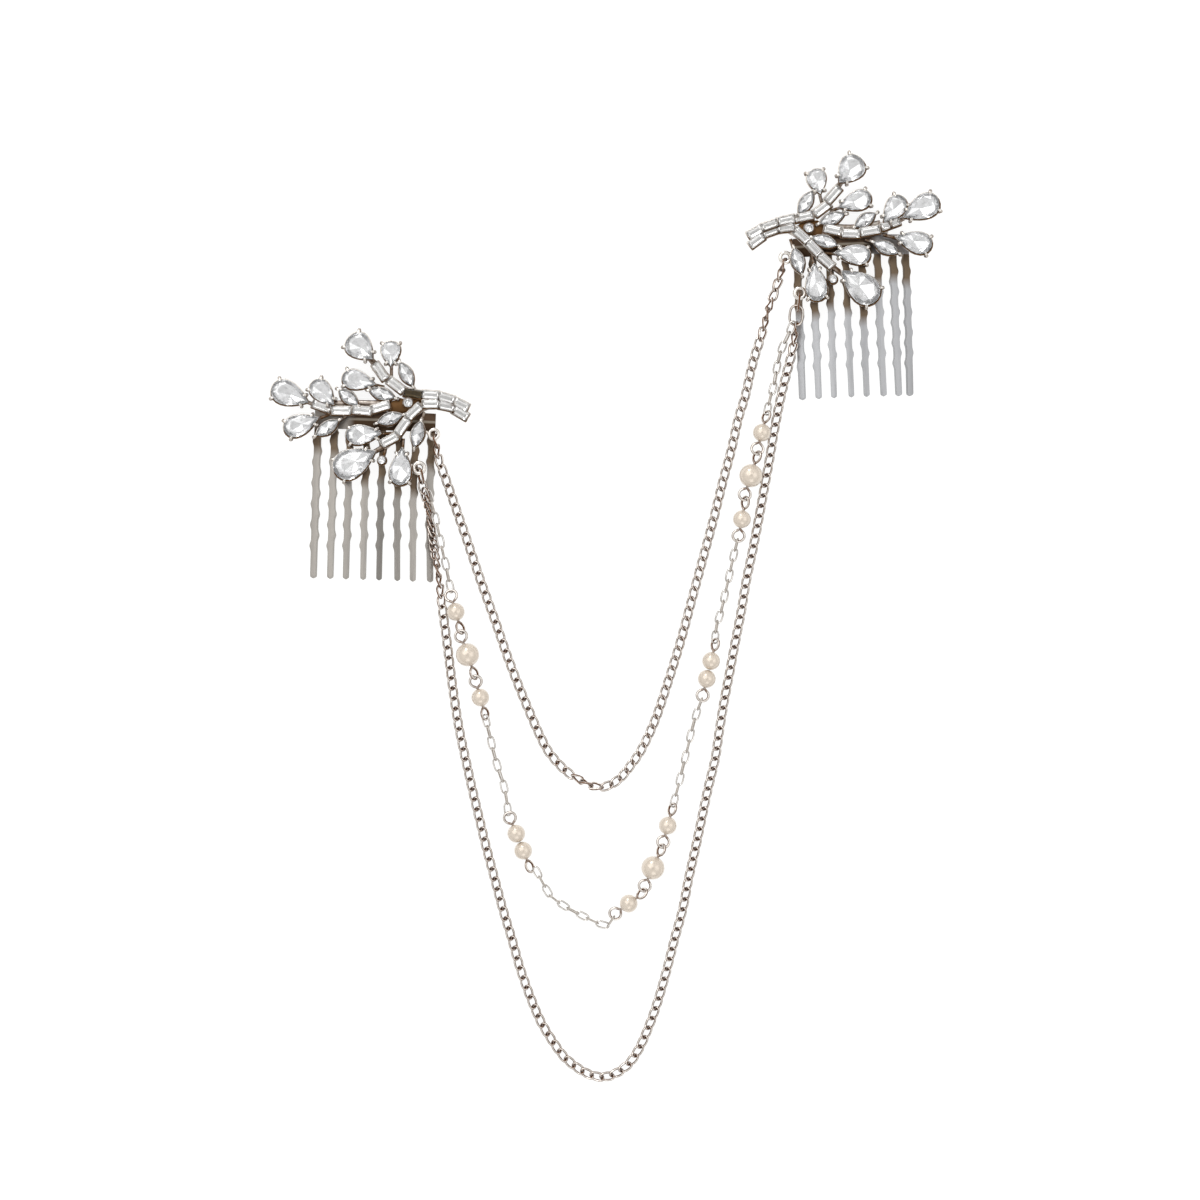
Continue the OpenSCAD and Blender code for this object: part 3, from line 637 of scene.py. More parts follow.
def tarnish_and_shade_group():
    """Mask of the tarnish that stays in the recesses together with painted shade, and the fine grain of
    plated metal.
    """
    name = "tarnish and painted shade"
    if name in bpy.data.node_groups:
        return bpy.data.node_groups[name]
    group = bpy.data.node_groups.new(name, "ShaderNodeTree")
    for way, label, value in (("INPUT", "Recess", 0.0), ("INPUT", "Amount", 1.0), ("INPUT", "Scale", 900.0),
                              ("OUTPUT", "Mask", 0.0), ("OUTPUT", "Grain", 0.0)):
        socket = group.interface.new_socket(name=label, in_out=way, socket_type="NodeSocketFloat")
        socket.default_value = value
    values = group.nodes.new("NodeGroupInput").outputs
    patches = noise(group, values["Scale"], 4.0, 0.6)
    lifted = maths(group, "ADD", values["Recess"], maths(group, "MULTIPLY", patches, 0.55))
    mask = maths(group, "MULTIPLY", maths(group, "SUBTRACT", lifted, 0.42), 2.2, clamp=True)
    add(group, "NodeGroupOutput", Mask=maths(group, "MULTIPLY", mask, values["Amount"], clamp=True),
        Grain=noise(group, 5200.0, 2.0))
    return group


def metal_material(name, clean, tarnish_shade_colour, rough, amount, scale, bump):
    """Plated metal with tarnish in its recesses and painted shade, one mask for both."""
    mat, tree, shader = blank(name, 1.0)
    tarnish_shade = add(tree, "ShaderNodeGroup", node_tree=tarnish_and_shade_group(), Amount=amount, Scale=scale,
               Recess=painted(tree)).outputs
    feed(tree, shader, {"Base Color": mixed(tree, tarnish_shade["Mask"], (*clean, 1), (*tarnish_shade_colour, 1)),
                        "Roughness": scaled(tree, tarnish_shade["Mask"], 0.3, rough)})
    bumped(tree, shader, tarnish_shade["Grain"], bump, 0.00004)
    return mat


# The bar's painted reflections down from its top edge, brown then a light band then dark brown, and
# where along it, left and right, a painted light patch shows its bare satin.
BAR_REFLECTIONS = ((0.0, (0.16, 0.105, 0.07)), (0.32, (0.11, 0.072, 0.047)), (0.35, (0.30, 0.26, 0.21)),
             (0.42, (0.28, 0.24, 0.19)), (0.46, (0.07, 0.043, 0.025)), (0.9, (0.06, 0.037, 0.022)))
BAR_LIT_PATCH = (((0.0, 0.85), (0.27, 0.8), (0.34, 0.0)), ((0.66, 0.0), (0.73, 0.8), (1.0, 0.85)))
# What the ramps of the teeth's columns are scaled by, to keep them from 0 to 1: painted brown
# reflection and painted light.
REFLECTION_MOST = 25.0
LIGHT_MOST = 0.9


def comb_material(name, side, satin):
    """Satin metal, brushed along the teeth, with painted brown reflections under the spray, painted
    reflections and a painted light patch on the bar, and each tooth painted lighter or darker.
    """
    mat, tree, shader = blank(name, 1.0)
    (x, y, turn), wide = COMBS[side][:2]
    place = add(tree, "ShaderNodeMapping", vector_type="TEXTURE",
                Vector=add(tree, "ShaderNodeTexCoord").outputs["Object"],
                Location=((x + MIDDLE.x) * MM, (y + MIDDLE.y) * MM, 0),
                Rotation=(0, 0, radians(turn))).outputs["Vector"]
    stretch = add(tree, "ShaderNodeMapping", Vector=place, Scale=(1, 0.06, 1))
    brushed = noise(tree, 3500.0, 3.0, place=stretch.outputs["Vector"])
    split = add(tree, "ShaderNodeSeparateXYZ", Vector=place).outputs
    # distance below the top edge, and the place across the comb from 0 to 1
    width = wide + 1
    down = maths(tree, "MULTIPLY", split["Y"], -1 / MM)
    across = scaled(tree, split["X"], 1 / MM / width, 0.5)
    teeth = TEETH[side]
    starts = [0.0] + [0.5 + (a[0] + b[0]) / 2 / width for a, b in zip(teeth, teeth[1:])]
    spray_reflection_to = ramp(tree, across, [(s, t[2] / REFLECTION_MOST) for s, t in zip(starts, teeth)], "CONSTANT")
    tooth_light = ramp(tree, across, [(s, t[3] * LIGHT_MOST) for s, t in zip(starts, teeth)], "CONSTANT")
    # how much further down the painted brown reflection of the spray reaches here
    left = maths(tree, "SUBTRACT", maths(tree, "MULTIPLY", spray_reflection_to, REFLECTION_MOST), down)
    # satin painted lighter or darker tooth by tooth, then the painted brown reflection of the spray over it
    lit_satin = product(tree, (*(v / LIGHT_MOST for v in satin), 1), tooth_light)
    tint = mixed(tree, scaled(tree, left, 0.4, 0.4, clamp=True), lit_satin, (0.17, 0.125, 0.085, 1))
    # on the bar: painted reflections down from its top edge, and a painted light patch of bare satin
    bar_reflection = ramp(tree, maths(tree, "MULTIPLY", down, 0.2), BAR_REFLECTIONS)
    bar_reflection = mixed(tree, ramp(tree, across, BAR_LIT_PATCH[side]), bar_reflection, (*satin, 1))
    tint = mixed(tree, maths(tree, "LESS_THAN", down, 4.4), tint, bar_reflection)
    speck = ramp(tree, brushed, ((0.3, 0.86), (0.7, 1.0)))
    feed(tree, shader, {"Base Color": product(tree, tint, speck),
                        "Roughness": scaled(tree, brushed, 0.18, 0.4)})
    bumped(tree, shader, brushed, 0.25, 0.00003)
    return mat


def glass_material(name, tint, rough):
    """Cut glass with faint wisps in it."""
    mat, tree, shader = blank(name)
    wisps = noise(tree, 520.0, 3.0)
    faint = tuple(v * 0.94 for v in tint)
    feed(tree, shader, {"Transmission Weight": 1.0, "IOR": 1.56,
                        "Base Color": ramp(tree, wisps, ((0.35, faint), (0.6, tint))),
                        "Roughness": maths(tree, "MULTIPLY", wisps, rough)})
    return mat


def foil_material(name, bright, dark, metallic=0.76):
    """Silver foil behind a stone, mottled."""
    mat, tree, shader = blank(name, metallic)
    mottle = noise(tree, 1500.0, 5.0, 0.7)
    feed(tree, shader, {"Base Color": ramp(tree, mottle, ((0.33, dark), (0.5, bright))),
                        "Roughness": scaled(tree, mottle, 0.14, 0.03)})
    return mat


def pearl_material(name, body):
    """Cream pearl lustre under a soft gloss, with a gold edge to the bore."""
    mat, tree, shader = blank(name, 0.3)
    cloud = noise(tree, 420.0, 3.0)
    base = ramp(tree, cloud, ((0.3, tuple(v * 0.95 for v in body)), (0.7, body)))
    feed(tree, shader, {"Base Color": mixed(tree, painted(tree), base, (0.50, 0.34, 0.14, 1)),
                        "Roughness": 0.24, "Coat Weight": 0.7, "Coat Roughness": 0.14})
    return mat


MATERIALS = {}


def material(name):
    """The object's finishes, each built once."""
    if name not in MATERIALS:
        look = bpy.context.scene.hair_comb_finishes
        silver, tarnish_shade_tone, satin = tuple(look.silver), tuple(look.tarnish_and_shade), tuple(look.satin)
        # painted light: the right comb is the same metal as the left, painted lighter and cooler
        lighter = (satin[0] * 1.12, satin[1] * 1.2, satin[2] * 1.33)
        # metals: clean colour, colour of tarnish and painted shade, roughness, amount of both and scale of
        # the tarnish, bump of the grain
        make, *values = {
            "antique silver": (metal_material, silver, tarnish_shade_tone, 0.18, 1.0, 900.0, 0.25),
            "chain silver": (metal_material, (0.82, 0.775, 0.72), (0.13, 0.05, 0.016),
                             0.22, 1.0, 1400.0, 0.2),
            "pale silver": (metal_material, (0.86, 0.84, 0.815), (0.3, 0.25, 0.2),
                            0.2, 0.85, 1400.0, 0.2),
            "left comb": (comb_material, 0, satin),
            "right comb": (comb_material, 1, lighter),
            "cut glass": (glass_material, (0.985, 0.985, 0.985), 0.04),
            "smoky glass": (glass_material, (0.55, 0.50, 0.38), 0.05),
            "foil": (foil_material, (0.88, 0.88, 0.885), (0.72, 0.72, 0.72)),
            "bright foil": (foil_material, (1.0, 0.99, 0.975), (0.95, 0.94, 0.92), 0.8),
            "lost foil": (foil_material, (0.16, 0.12, 0.06), (0.05, 0.035, 0.02)),
            "pearl": (pearl_material, tuple(look.pearl)),
        }[name]
        MATERIALS[name] = make(name, *values)
    return MATERIALS[name]


# The combs.

def arch_z(rise, width, x):
    """Underside of the arch at a distance from the middle."""
    r = ((width / 2) ** 2 + rise ** 2) / (2 * rise)
    return rise - r + sqrt(r * r - x * x)


# Rows of the comb's grid, and how many of them are the bar's.
ROWS = 96
BAR_ROWS = 3
# How far below the top edge the two places lie at which the table gives a tooth's middle.
HIGH_AT, LOW_AT = 20, 34


def comb_blank(side, sizes):
    """The comb cut from a grid: a bar, and teeth that bump from side to side and end round."""
    place, width, height, rise, _ = COMBS[side]
    top_w, tip_w, bar = sizes.top_width, sizes.tip_width, sizes.bar
    last, step, turn = BUMPS[side]
    cols = 3 * len(TEETH[side]) - 1
    obj = primitive(bpy.ops.mesh.primitive_grid_add, x_subdivisions=cols, y_subdivisions=ROWS, size=2)

    def spot(co):
        row = round((1 - co.y) / 2 * ROWS)
        tooth, edge = divmod(round((co.x + 1) / 2 * cols), 3)
        high, low = TEETH[side][tooth][:2]
        d = bar * row / BAR_ROWS
        if row > BAR_ROWS:
            d = bar + (height - bar) * ((row - BAR_ROWS) / (ROWS - BAR_ROWS)) ** 0.98
        middle = high + (low - high) * max(0, d - HIGH_AT) / (LOW_AT - HIGH_AT)
        half = (top_w + (tip_w - top_w) * d / height) / 2
        left = d - (height - tip_w / 2)
        if left > 0:
            half *= sqrt(max(0.0, 1 - (left / (tip_w / 2)) ** 2)) * 0.98 + 0.02
        x = middle + (edge - 1) * half
        # the bumps on a tooth's two sides take turns
        ago = (last - d - turn * middle) / step + (0.5 if edge == 0 else 0)
        if edge != 1 and d > bar + 0.5 and ago > -0.4:
            x += (edge - 1) * sizes.bump * (0.5 + 0.5 * cos(2 * pi * ago)) ** 3
        return Vector((x, -d, arch_z(rise, width, min(abs(x), width / 2))))

    # the gaps: faces between one tooth's right edge and the next tooth's left edge
    picked(obj, lambda f: int((f.center.x + 1) / 2 * cols) % 3 == 2
           and int((1 - f.center.y) / 2 * ROWS) >= BAR_ROWS)
    bpy.ops.mesh.delete(type="FACE")
    finish_edit()
    mould(obj, spot)
    thickened(obj, COMB_T, 1)
    rounded(obj, 0.2, 3, 50)
    obj.data.transform(at(place))
    return obj


class HAIRCOMB_OT_combs(bpy.types.Operator):
    """Makes the two side combs"""
    bl_idname = "haircomb.combs"
    bl_label = "Side combs"

    def execute(self, context):
        for side, word in enumerate(SIDES):
            obj = comb_blank(side, context.scene.hair_comb_sizes)
            obj.name = obj.data.name = f"{word}_side_comb"
            finished(obj, 40, f"{word} comb", "comb_metal", f"{word}_comb")
        return {"FINISHED"}


# The settings.

# Width of a cup's lip and of the slope inside it, its fall, and how far the lip flares out.
LIP_W, SLOPE_W, SLOPE_H, FLARE = 0.12, 0.3, 0.2, 0.14


def cup(outline, height, dark, turn, side_shade):
    """An open cup: a narrow lip, a sloping seat under the stone, and a skirt that draws in to its base.
    The seat is dark with painted shade under the stone, painted shade darkens the lip and seat on their
    lower right, and tarnish with painted shade darkens the skirt towards its base."""
    obj = filled(outline, height)
    long, wide = (max(p[k] for p in outline) for k in (0, 1))
    edit(obj)
    all_picked()
    bpy.ops.mesh.inset(thickness=LIP_W, use_boundary=True)
    bpy.ops.mesh.inset(thickness=SLOPE_W, depth=-SLOPE_H, use_boundary=True)
    grown((0, 0, SLOPE_H - height * 0.6))
    finish_edit()
    painted_stain_and_shade(obj, lambda co: dark if co.z > height - 0.01 else 1)
    edit(obj)
    rim_picked()
    for down, size in (
        (0.3, (1 + FLARE / long, 1 + FLARE / wide, 1)), (height * 0.45 - 0.05, (0.97, 0.96, 1)),
        (height * 0.45 - 0.25, (0.95, 0.92, 1)), (height * 0.10, (0.86, 0.86, 1)),
    ):
        grown((0, 0, -down), size=size)
    bpy.ops.mesh.edge_face_add()
    picked(obj, lambda co: co.z > height - 0.01, "EDGE")
    bpy.ops.mesh.bevel(offset=0.03, segments=2, affect="EDGES")
    finish_edit()
    layer = obj.data.attributes["stain_and_shade"].data
    spin = Matrix.Rotation(radians(turn), 2)
    # painted shade: lip and seat darker on their lower right; tarnish and painted shade darken the skirt
    # lower down
    for v in obj.data.vertices:
        way = (spin @ Vector((v.co.x / long ** 2, v.co.y / wide ** 2))).normalized()
        low = max(0, min(1, 0.35 - 0.8 * way.y + 0.35 * way.x)) * side_shade
        if layer[v.index].value > dark + 0.01:
            value = 0.3 + 0.7 * low
        elif v.co.z > height - 0.1:
            value = dark + (1 - dark) * low
        else:
            value = 0.5 * dark + (height - 0.3 - v.co.z) / 0.9
        layer[v.index].value = max(0, min(1, value))
    return obj


# A claw's place outside the cup's outline, then its bends: how far out and up, and what is left of
# its size in both directions.
CLAW_X = 0.2
CLAW_BENDS = (
    (0, 0.26, 0.95, 0.95), (-0.16, 0.20, 0.9, 0.95), (-0.26, 0.08, 0.75, 0.8), (-0.12, -0.02, 0.5, 0.5),
)


def claw(height):
    """A prong that stands outside the cup and bends in over the stone's edge. +X is outwards."""
    post = primitive(bpy.ops.mesh.primitive_cylinder_add, vertices=10, radius=0.31, depth=height,
                     location=(CLAW_X, 0, height / 2))
    picked(post, lambda f: f.normal.z > 0.9)
    x, z = CLAW_X, height
    for out, up, *left in CLAW_BENDS:
        x, z = x + out, z + up
        grown((out, 0, up), about=(x, 0, z), size=(*left, 1))
    finish_edit()
    # tarnish and painted shade: the post and its bead darker towards the foot
    painted_stain_and_shade(post, lambda co: 0.5 + (height + 0.25 - co.z) * 1.2)
    bead = primitive(bpy.ops.mesh.primitive_uv_sphere_add, segments=12, ring_count=8, radius=0.43,
                     location=(0.34, 0, height - 0.3))
    painted_stain_and_shade(bead, lambda co: 0.5 + (height - 0.1 - co.z) * 1.5)
    return joined([post, bead], "claw")


# Where the claws of a cut stand round it.
CLAWS = {PEAR: (50, 140, 220, 310), MARQUISE: (0, 180)}


def claw_places(cut, l, w):
    for t in CLAWS.get(cut, ()):
        a = radians(t)
        reach = sin(a / 2) / PEAR_WIDEST if cut == PEAR else abs(sin(a))
        spot = Vector((l / 2 * cos(a), w / 2 * sin(a) * reach, 0))
        yield Matrix.Translation(spot) @ Matrix.Rotation(atan2(spot.y * 1.6, spot.x), 4, "Z")


TAB_W, TAB_T, TAB_FOLD = 2.4, 0.5, 1.3


def tab(side, x):
    """A strip that comes down behind the comb's bar and folds in under it."""
    place, width, height, rise, _ = COMBS[side]
    lip = arch_z(rise, width, abs(x) + TAB_W / 2) - COMB_GAP
    top = base_z(side) + 0.2
    obj = primitive(bpy.ops.mesh.primitive_cube_add, size=1)
    mould(obj, lambda co: Vector((x + co.x * TAB_W, 0.35 + co.y * TAB_T,
                                  (top + lip) / 2 + co.z * (top - lip))))
    picked(obj, lambda f: f.normal.z < -0.9)
    grown((0, 0, -TAB_T))
    picked(obj, lambda f: f.normal.y < -0.9 and f.center.z < lip)
    grown((0, -TAB_FOLD, 0))
    finish_edit()
    rounded(obj, 0.12, 2)
    obj.data.transform(at(place))
    return painted_stain_and_shade(obj, 0.35)


def chain_loop(row, side):
    """A ring of round wire on a short arm."""
    _, middle, outside, hole, anchor = row
    wire_r, ring_r = (outside - hole) / 4, (outside + hole) / 4
    z = base_z(side) + wire_r + 0.05
    ring = primitive(bpy.ops.mesh.primitive_torus_add, major_segments=36, minor_segments=14,
                     major_radius=ring_r, minor_radius=wire_r, location=(*middle, z))
    way = (Vector(anchor) - Vector(middle)).normalized()
    start = Vector(middle) + way * ring_r
    arm = wire([(start.x, start.y, z - 0.05), (anchor[0], anchor[1], z - 0.1)], 0.42)

    # tarnish and painted shade: the ring darker on its inside and lower down
    def shade(co):
        inside = dist(co.xy, middle) < ring_r - wire_r * 0.3
        return inside * 0.4 + (z - co.z) * 0.4

    return [painted_stain_and_shade(ring, shade), painted_stain_and_shade(arm, 0.3)]


def rail(line, wide, top, deep):
    """A flat bar along a smooth line of [x, y] places."""
    route = Route([(p[0], p[1], top) for p in line], 5)
    steps = max(8, round(route.total / 0.8))
    obj = primitive(bpy.ops.mesh.primitive_grid_add, x_subdivisions=steps, y_subdivisions=1, size=2)

    def spot(co):
        d = (co.x + 1) / 2 * route.total
        return route.at(d) + UP.cross(route.ahead(d)) * co.y * wide / 2

    mould(obj, spot)
    thickened(obj, deep, -1)
    return obj


def past(last, before, reach):
    """The place a little past the last one, on the same way."""
    a, b = Vector(last[:2]), Vector(before[:2])
    return a + (a - b).normalized() * reach


# The rows of baguettes, each with the pear that its branch ends at, and the rows' roots.
BRANCHES = (((2, 1, 0, 6, 7, 8), 2), ((5, 4, 3, 9, 10, 11), 7), ((12, 13, 14, 15), 0))
ROOTS = ((0, 3), (3, 12))


def branches(side):
    """Rails under the rows of baguettes, round bars on to the last pears, a wire behind the middle row
    and the plate where they meet."""
    mid = [row[1 + side] for row in BAGUETTES]
    z0 = base_z(side)
    out = []
    for row, pear in BRANCHES:
        line = [mid[i] for i in row]
        line = [past(line[0], line[1], 1.6), *line, past(line[-1], line[-2], 1.7)]
        out.append(painted_stain_and_shade(rail(line, BAGUETTE_W + 0.5, z0 + cup_top(STEP) - 0.55, 0.8), 0.4))
        end = PEARS[pear][3 + side]
        bar = wire([(*past(line[-1], line[-2], -0.5), z0 + 0.5), (*end[:2], z0 + 0.5)], 0.45, 10)
        out.append(painted_stain_and_shade(bar, 0.5))
    for root in ROOTS:
        bar = wire([(*mid[i][:2], z0 + 0.45) for i in root], 0.5, 10)
        out.append(painted_stain_and_shade(bar, 0.75))
    back = wire([(x, y, z0 + 0.55) for x, y in BACK_WIRES[side]], 0.62, 12)
    # tarnish and painted shade: the wire darker lower down
    out.append(painted_stain_and_shade(back, lambda co: 0.75 - (co.z - z0) * 0.3))
    web = filled(WEBS[side], z0 + 0.75)
    edit(web)
    all_picked()
    bpy.ops.mesh.inset(thickness=0.7, depth=0.3, use_boundary=True)
    rim_picked()
    grown((0, 0, -0.6))
    bpy.ops.mesh.edge_face_add()
    finish_edit()
    # tarnish and painted shade: the plate dark, darkest below its top
    out.append(painted_stain_and_shade(web, lambda co: 1.0 if co.z < z0 + 0.9 else 0.7))
    return out


def spray(side):
    """All the metal of one side: branches, cups with their claws and stems, loops and tabs."""
    parts = branches(side)
    z0 = base_z(side)
    claws = {cut: claw(cup_top(cut)) for cut in CLAWS}
    for cut, i, l, w, stem, place in seats(side):
        here = at(place, z0)
        body = cup(OUTLINES[cut](l, w), cup_top(cut), LIP_SHADE[cut], place[2], 0.6 if cut == STEP else 1)
        body.data.transform(here)
        parts.append(body)
        for spot in claw_places(cut, l, w):
            parts.append(copy_at(claws[cut], here @ spot))
        if stem:
            bar = wire([(l * 0.2, 0, 0.45), (l / 2, 0, 0.42), (l / 2 + stem, 0, 0.4)], 0.38, 10)
            bar.data.transform(here)
            parts.append(painted_stain_and_shade(bar, 0.55))
    drop(*claws.values())
    for row in LOOPS:
        if row[0] == side:
            parts += chain_loop(row, side)
    parts += [tab(side, x) for x in COMBS[side][4]]
    return joined(parts, f"{SIDES[side]}_spray")


class HAIRCOMB_OT_settings(bpy.types.Operator):
    """Makes the soldered metal of both sprays"""
    bl_idname = "haircomb.settings"
    bl_label = "Settings"

    def execute(self, context):
        for side, word in enumerate(SIDES):
            finished(spray(side), 38, "antique silver", "silver", f"{word}_setting")
        return {"FINISHED"}


# The stones.

# Corners of each cut, and the depth of its pavilion as a share of its width. A step cut has its own.
CORNERS = (20, 16, 16, 8)
PAVILION = (0.13, 0.17, 0.25)
STEP_PAVILION = 0.36
# A crown breaks at this share of its height.
CROWN_BREAK = 0.62


def gem(cut, l, w):
    """A cut stone: rings of corners from table to culet, closed over with flat facets."""
    girdle_z = cup_top(cut) + GIRDLE_UP
    crown_z = girdle_z + GIRDLE_T
    break_z, table_z = crown_z + CROWN_H * CROWN_BREAK, crown_z + CROWN_H
    rim = OUTLINES[cut](l, w, CORNERS[cut])
    if cut == STEP:
        deep = -STEP_PAVILION
        rings = [([(copysign(abs(x) - d, x), copysign(abs(y) - d, y)) for x, y in rim], z)
                 for d, z in ((0, girdle_z), (0, crown_z), (0.2, break_z), (0.42, table_z),
                              (0.3, girdle_z + deep * 0.6), (0.6, girdle_z + deep))]
    else:
        # the corners of the crown's middle ring and of the table take turns round the outline
        deep = -PAVILION[cut] * w
        rings = [([(x * k, y * k) for x, y in rim[first::step]], z) for first, step, k, z in (
            (0, 1, 1, girdle_z), (0, 1, 1, crown_z), (1, 2, 0.87, break_z), (0, 2, 0.64, table_z),
            (1, 2, 0.7, girdle_z + deep * 0.42), (0, 4, 0.04, girdle_z + deep))]
    obj = joined([filled(points, z) for points, z in rings], "stone")
    edit(obj)
    all_picked()
    bpy.ops.mesh.delete(type="ONLY_FACE")
    all_picked()
    bpy.ops.mesh.convex_hull()
    all_picked()
    bpy.ops.mesh.dissolve_limited(angle_limit=radians(1))
    bpy.ops.mesh.normals_make_consistent(inside=False)
    finish_edit()
    return obj


def foiled(obj, cut, dull):
    """Glass above and on the girdle, foil below it."""
    foil = "lost foil" if dull else "bright foil" if cut == STEP else "foil"
    for name in ("smoky glass" if dull else "cut glass", foil):
        obj.data.materials.append(material(name))
    for f in obj.data.polygons:
        f.material_index = 1 if f.center.z < cup_top(cut) + GIRDLE_UP - 0.001 else 0


class HAIRCOMB_OT_stones(bpy.types.Operator):
    """Cuts and sets the stones"""
    bl_idname = "haircomb.stones"
    bl_label = "Stones"

    def execute(self, context):
        names = {PEAR: "pear", MARQUISE: "marquise"}
        for side, word in enumerate(SIDES):
            rows = {ROUND: [], STEP: []}
            for cut, i, l, w, stem, place in seats(side):
                stone = gem(cut, l - STONE_LESS[cut][0], w - STONE_LESS[cut][1])
                foiled(stone, cut, cut == STEP and (side, i) in DULL)
                stone.data.transform(Matrix.Translation((*SHIFT, 0)) @ at(place, base_z(side)))
                if cut in names:
                    stone.name = stone.data.name = f"{word}_{names[cut]}_stone_{i + 1}"
                    to_metres(stone)
                    handed_over(stone, "stone", f"{word}_{names[cut]}_{i + 1}")
                else:
                    rows[cut].append(stone)
            for cut, node in ((ROUND, "round_stones"), (STEP, "baguettes")):
                obj = to_metres(joined(rows[cut], f"{word}_set_{node}"))
                handed_over(obj, "stone", f"{word}_{node}")
        return {"FINISHED"}


# Rings and chains.

def link(length, width, wire_d, twist=0.0, segments=14, sides=6, blunt=3.0, slant=0.0):
    """One closed link: a ring of wire moulded to an oval, its plane twisted end to end.
    The blunter, the straighter its sides. A slant turns its sides against its ends, as in a curb."""
    obj = primitive(bpy.ops.mesh.primitive_torus_add, major_segments=segments, minor_segments=sides,
                    major_radius=1.0, minor_radius=wire_d / 2)
    a, b = (length - wire_d) / 2, (width - wire_d) / 2

    def line(t):
        x = (a - b) * tanh(blunt * cos(t)) / tanh(blunt) + b * cos(t)
        return Vector((x - b * sin(slant) * sin(t), b * sin(t), twist * sin(2 * t)))

    shades = []
    half = pi / sides

    def spot(co):
        t = atan2(co.y, co.x)
        off = hypot(co.x, co.y) - 1.0
        # turned half a side, so that a row of corners runs along the top of the wire
        out = off * cos(half) - co.z * sin(half)
        high = off * sin(half) + co.z * cos(half)
        here, ahead = line(t), (line(t + 0.01) - line(t - 0.01)).normalized()
        away = Vector((cos(t), sin(t) * a / b, 0))
        away = (away - ahead * away.dot(ahead)).normalized()
        # tarnish and painted shade: dark along the inside, less so along the outside, and darker where the
        # next link crosses, where painted shade falls
        aside = out / (wire_d / 2)
        crossing = 0.38 * abs(cos(t)) ** 8 if aside < 0.3 else 0
        shades.append(0.04 + (0.9 if aside < 0 else 0.62) * abs(aside) ** 1.2 + crossing)
        return here + away * out + ahead.cross(away) * -high

    mould(obj, spot)
    order = iter(shades)
    painted_stain_and_shade(obj, lambda co: next(order))
    edit(obj)
    all_picked()
    bpy.ops.mesh.normals_make_consistent(inside=False)
    finish_edit()
    return obj


def strung(route, pitch, template, rolls, name, bunched=0):
    """Copies of a link along a route, joined. Those bunched up at the start lie closer together."""
    n = round(route.total / pitch + BUNCH * bunched)
    whole = n - BUNCH * bunched
    parts = []
    for i in range(n + 1):
        d = route.total * (i - BUNCH * min(i, bunched)) / whole
        parts.append(copy_at(template, axes(route.at(d), route.ahead(d), rolls(i, n))))
    return joined(parts, name)


def half_turn(i, first, links):
    """Half a turn of the chain, shared by so many links."""
    return 180 * min(1, max(0, (i - first) / links))


def hung(i):
    """Turn of the link that is so many from a chain's end: the end links hang on edge."""
    return max(0, 90 - 30 * i)


def inner_roll(i, n):
    """The chain is turned over at its lowest place and near its right end."""
    return hung(n - i) - hung(i) + half_turn(i, round(n * KINK) - 2, 4) + half_turn(i, n - 8, 6)


def outer_roll(i, n):
    """The first links are twisted like a rope."""
    return 2 * half_turn(i, 0, TWISTED) + hung(n - i)


class HAIRCOMB_OT_curb_chains(bpy.types.Operator):
    """Links the two curb chains"""
    bl_idname = "haircomb.curb_chains"
    bl_label = "Curb chains"

    def execute(self, context):
        size = context.scene.hair_comb_chains
        one = link(size.curb_length, size.curb_width, size.curb_wire, CURB_TWIST, blunt=CURB_BLUNT,
                   slant=radians(CURB_SLANT))
        for name, points, roll, node, bunched in (
            ("inner_curb_chain", INNER, inner_roll, "inner_chain", 0),
            ("outer_curb_chain", OUTER, outer_roll, "outer_chain", BUNCHED),
        ):
            obj = strung(Route(points), size.curb_pitch, one, roll, name, bunched)
            finished(obj, 60, "chain silver", "silver", node)
        drop(one)
        return {"FINISHED"}


class HAIRCOMB_OT_rings(bpy.types.Operator):
    """Makes the rings between the settings and the chains"""
    bl_idname = "haircomb.rings"
    bl_label = "Rings"

    def execute(self, context):
        for name, start, end, half, wire_r, roll in RINGS:
            start, end = Vector(start), Vector(end)
            one = link((end - start).length + 2 * wire_r, 2 * (half + wire_r), 2 * wire_r, 0, 36, 10)
            way = (end - start).normalized()
            obj = joined([copy_at(one, axes((start + end) / 2, way, roll))], f"{name}_wire")
            drop(one)
            finished(obj, 60, "chain silver", "silver", name)
        return {"FINISHED"}


# The pearl swag.

def heading(turn, slope):
    t, s = radians(turn), radians(slope)
    return Vector((cos(t) * cos(s), sin(t) * cos(s), sin(s)))


def pins():
    """Each eye pin: middle of its first eye, its way, its length and its pearls."""
    out = []
    for start, row in STRANDS:
        here = Vector(start)
        for turn, slope, beads, onward in row:
            reach = 2 * EYE_NECK + sum(beads) + BEAD_GAP * (len(beads) - 1)
            way = heading(turn, slope)
            out.append((here, way, reach, beads))
            here = here + way * reach + EYE_STEP * heading(onward, 0)
    return out


def pearl(d):
    """A drilled bead with its bore along X."""
    obj = primitive(bpy.ops.mesh.primitive_uv_sphere_add, segments=32, ring_count=20, radius=d / 2)
    picked(obj, lambda f: abs(f.center.z) > d / 2 * 0.99)
    bpy.ops.mesh.inset(thickness=0.12)
    finish_edit()
    r = d / 2

    def bored(co):
        out = hypot(co.x, co.y)
        if out < BORE_R and abs(co.z) > r * 0.9:
            co.z = copysign(r - 0.5 * (1 - out / BORE_R) - 0.1, co.z)
        return Vector((co.z, co.x, co.y))

    mould(obj, bored)
    return painted_stain_and_shade(obj, lambda co: 1 - (hypot(co.y, co.z) - 0.35) / 0.25 if abs(co.x) > r * 0.5 else 0)


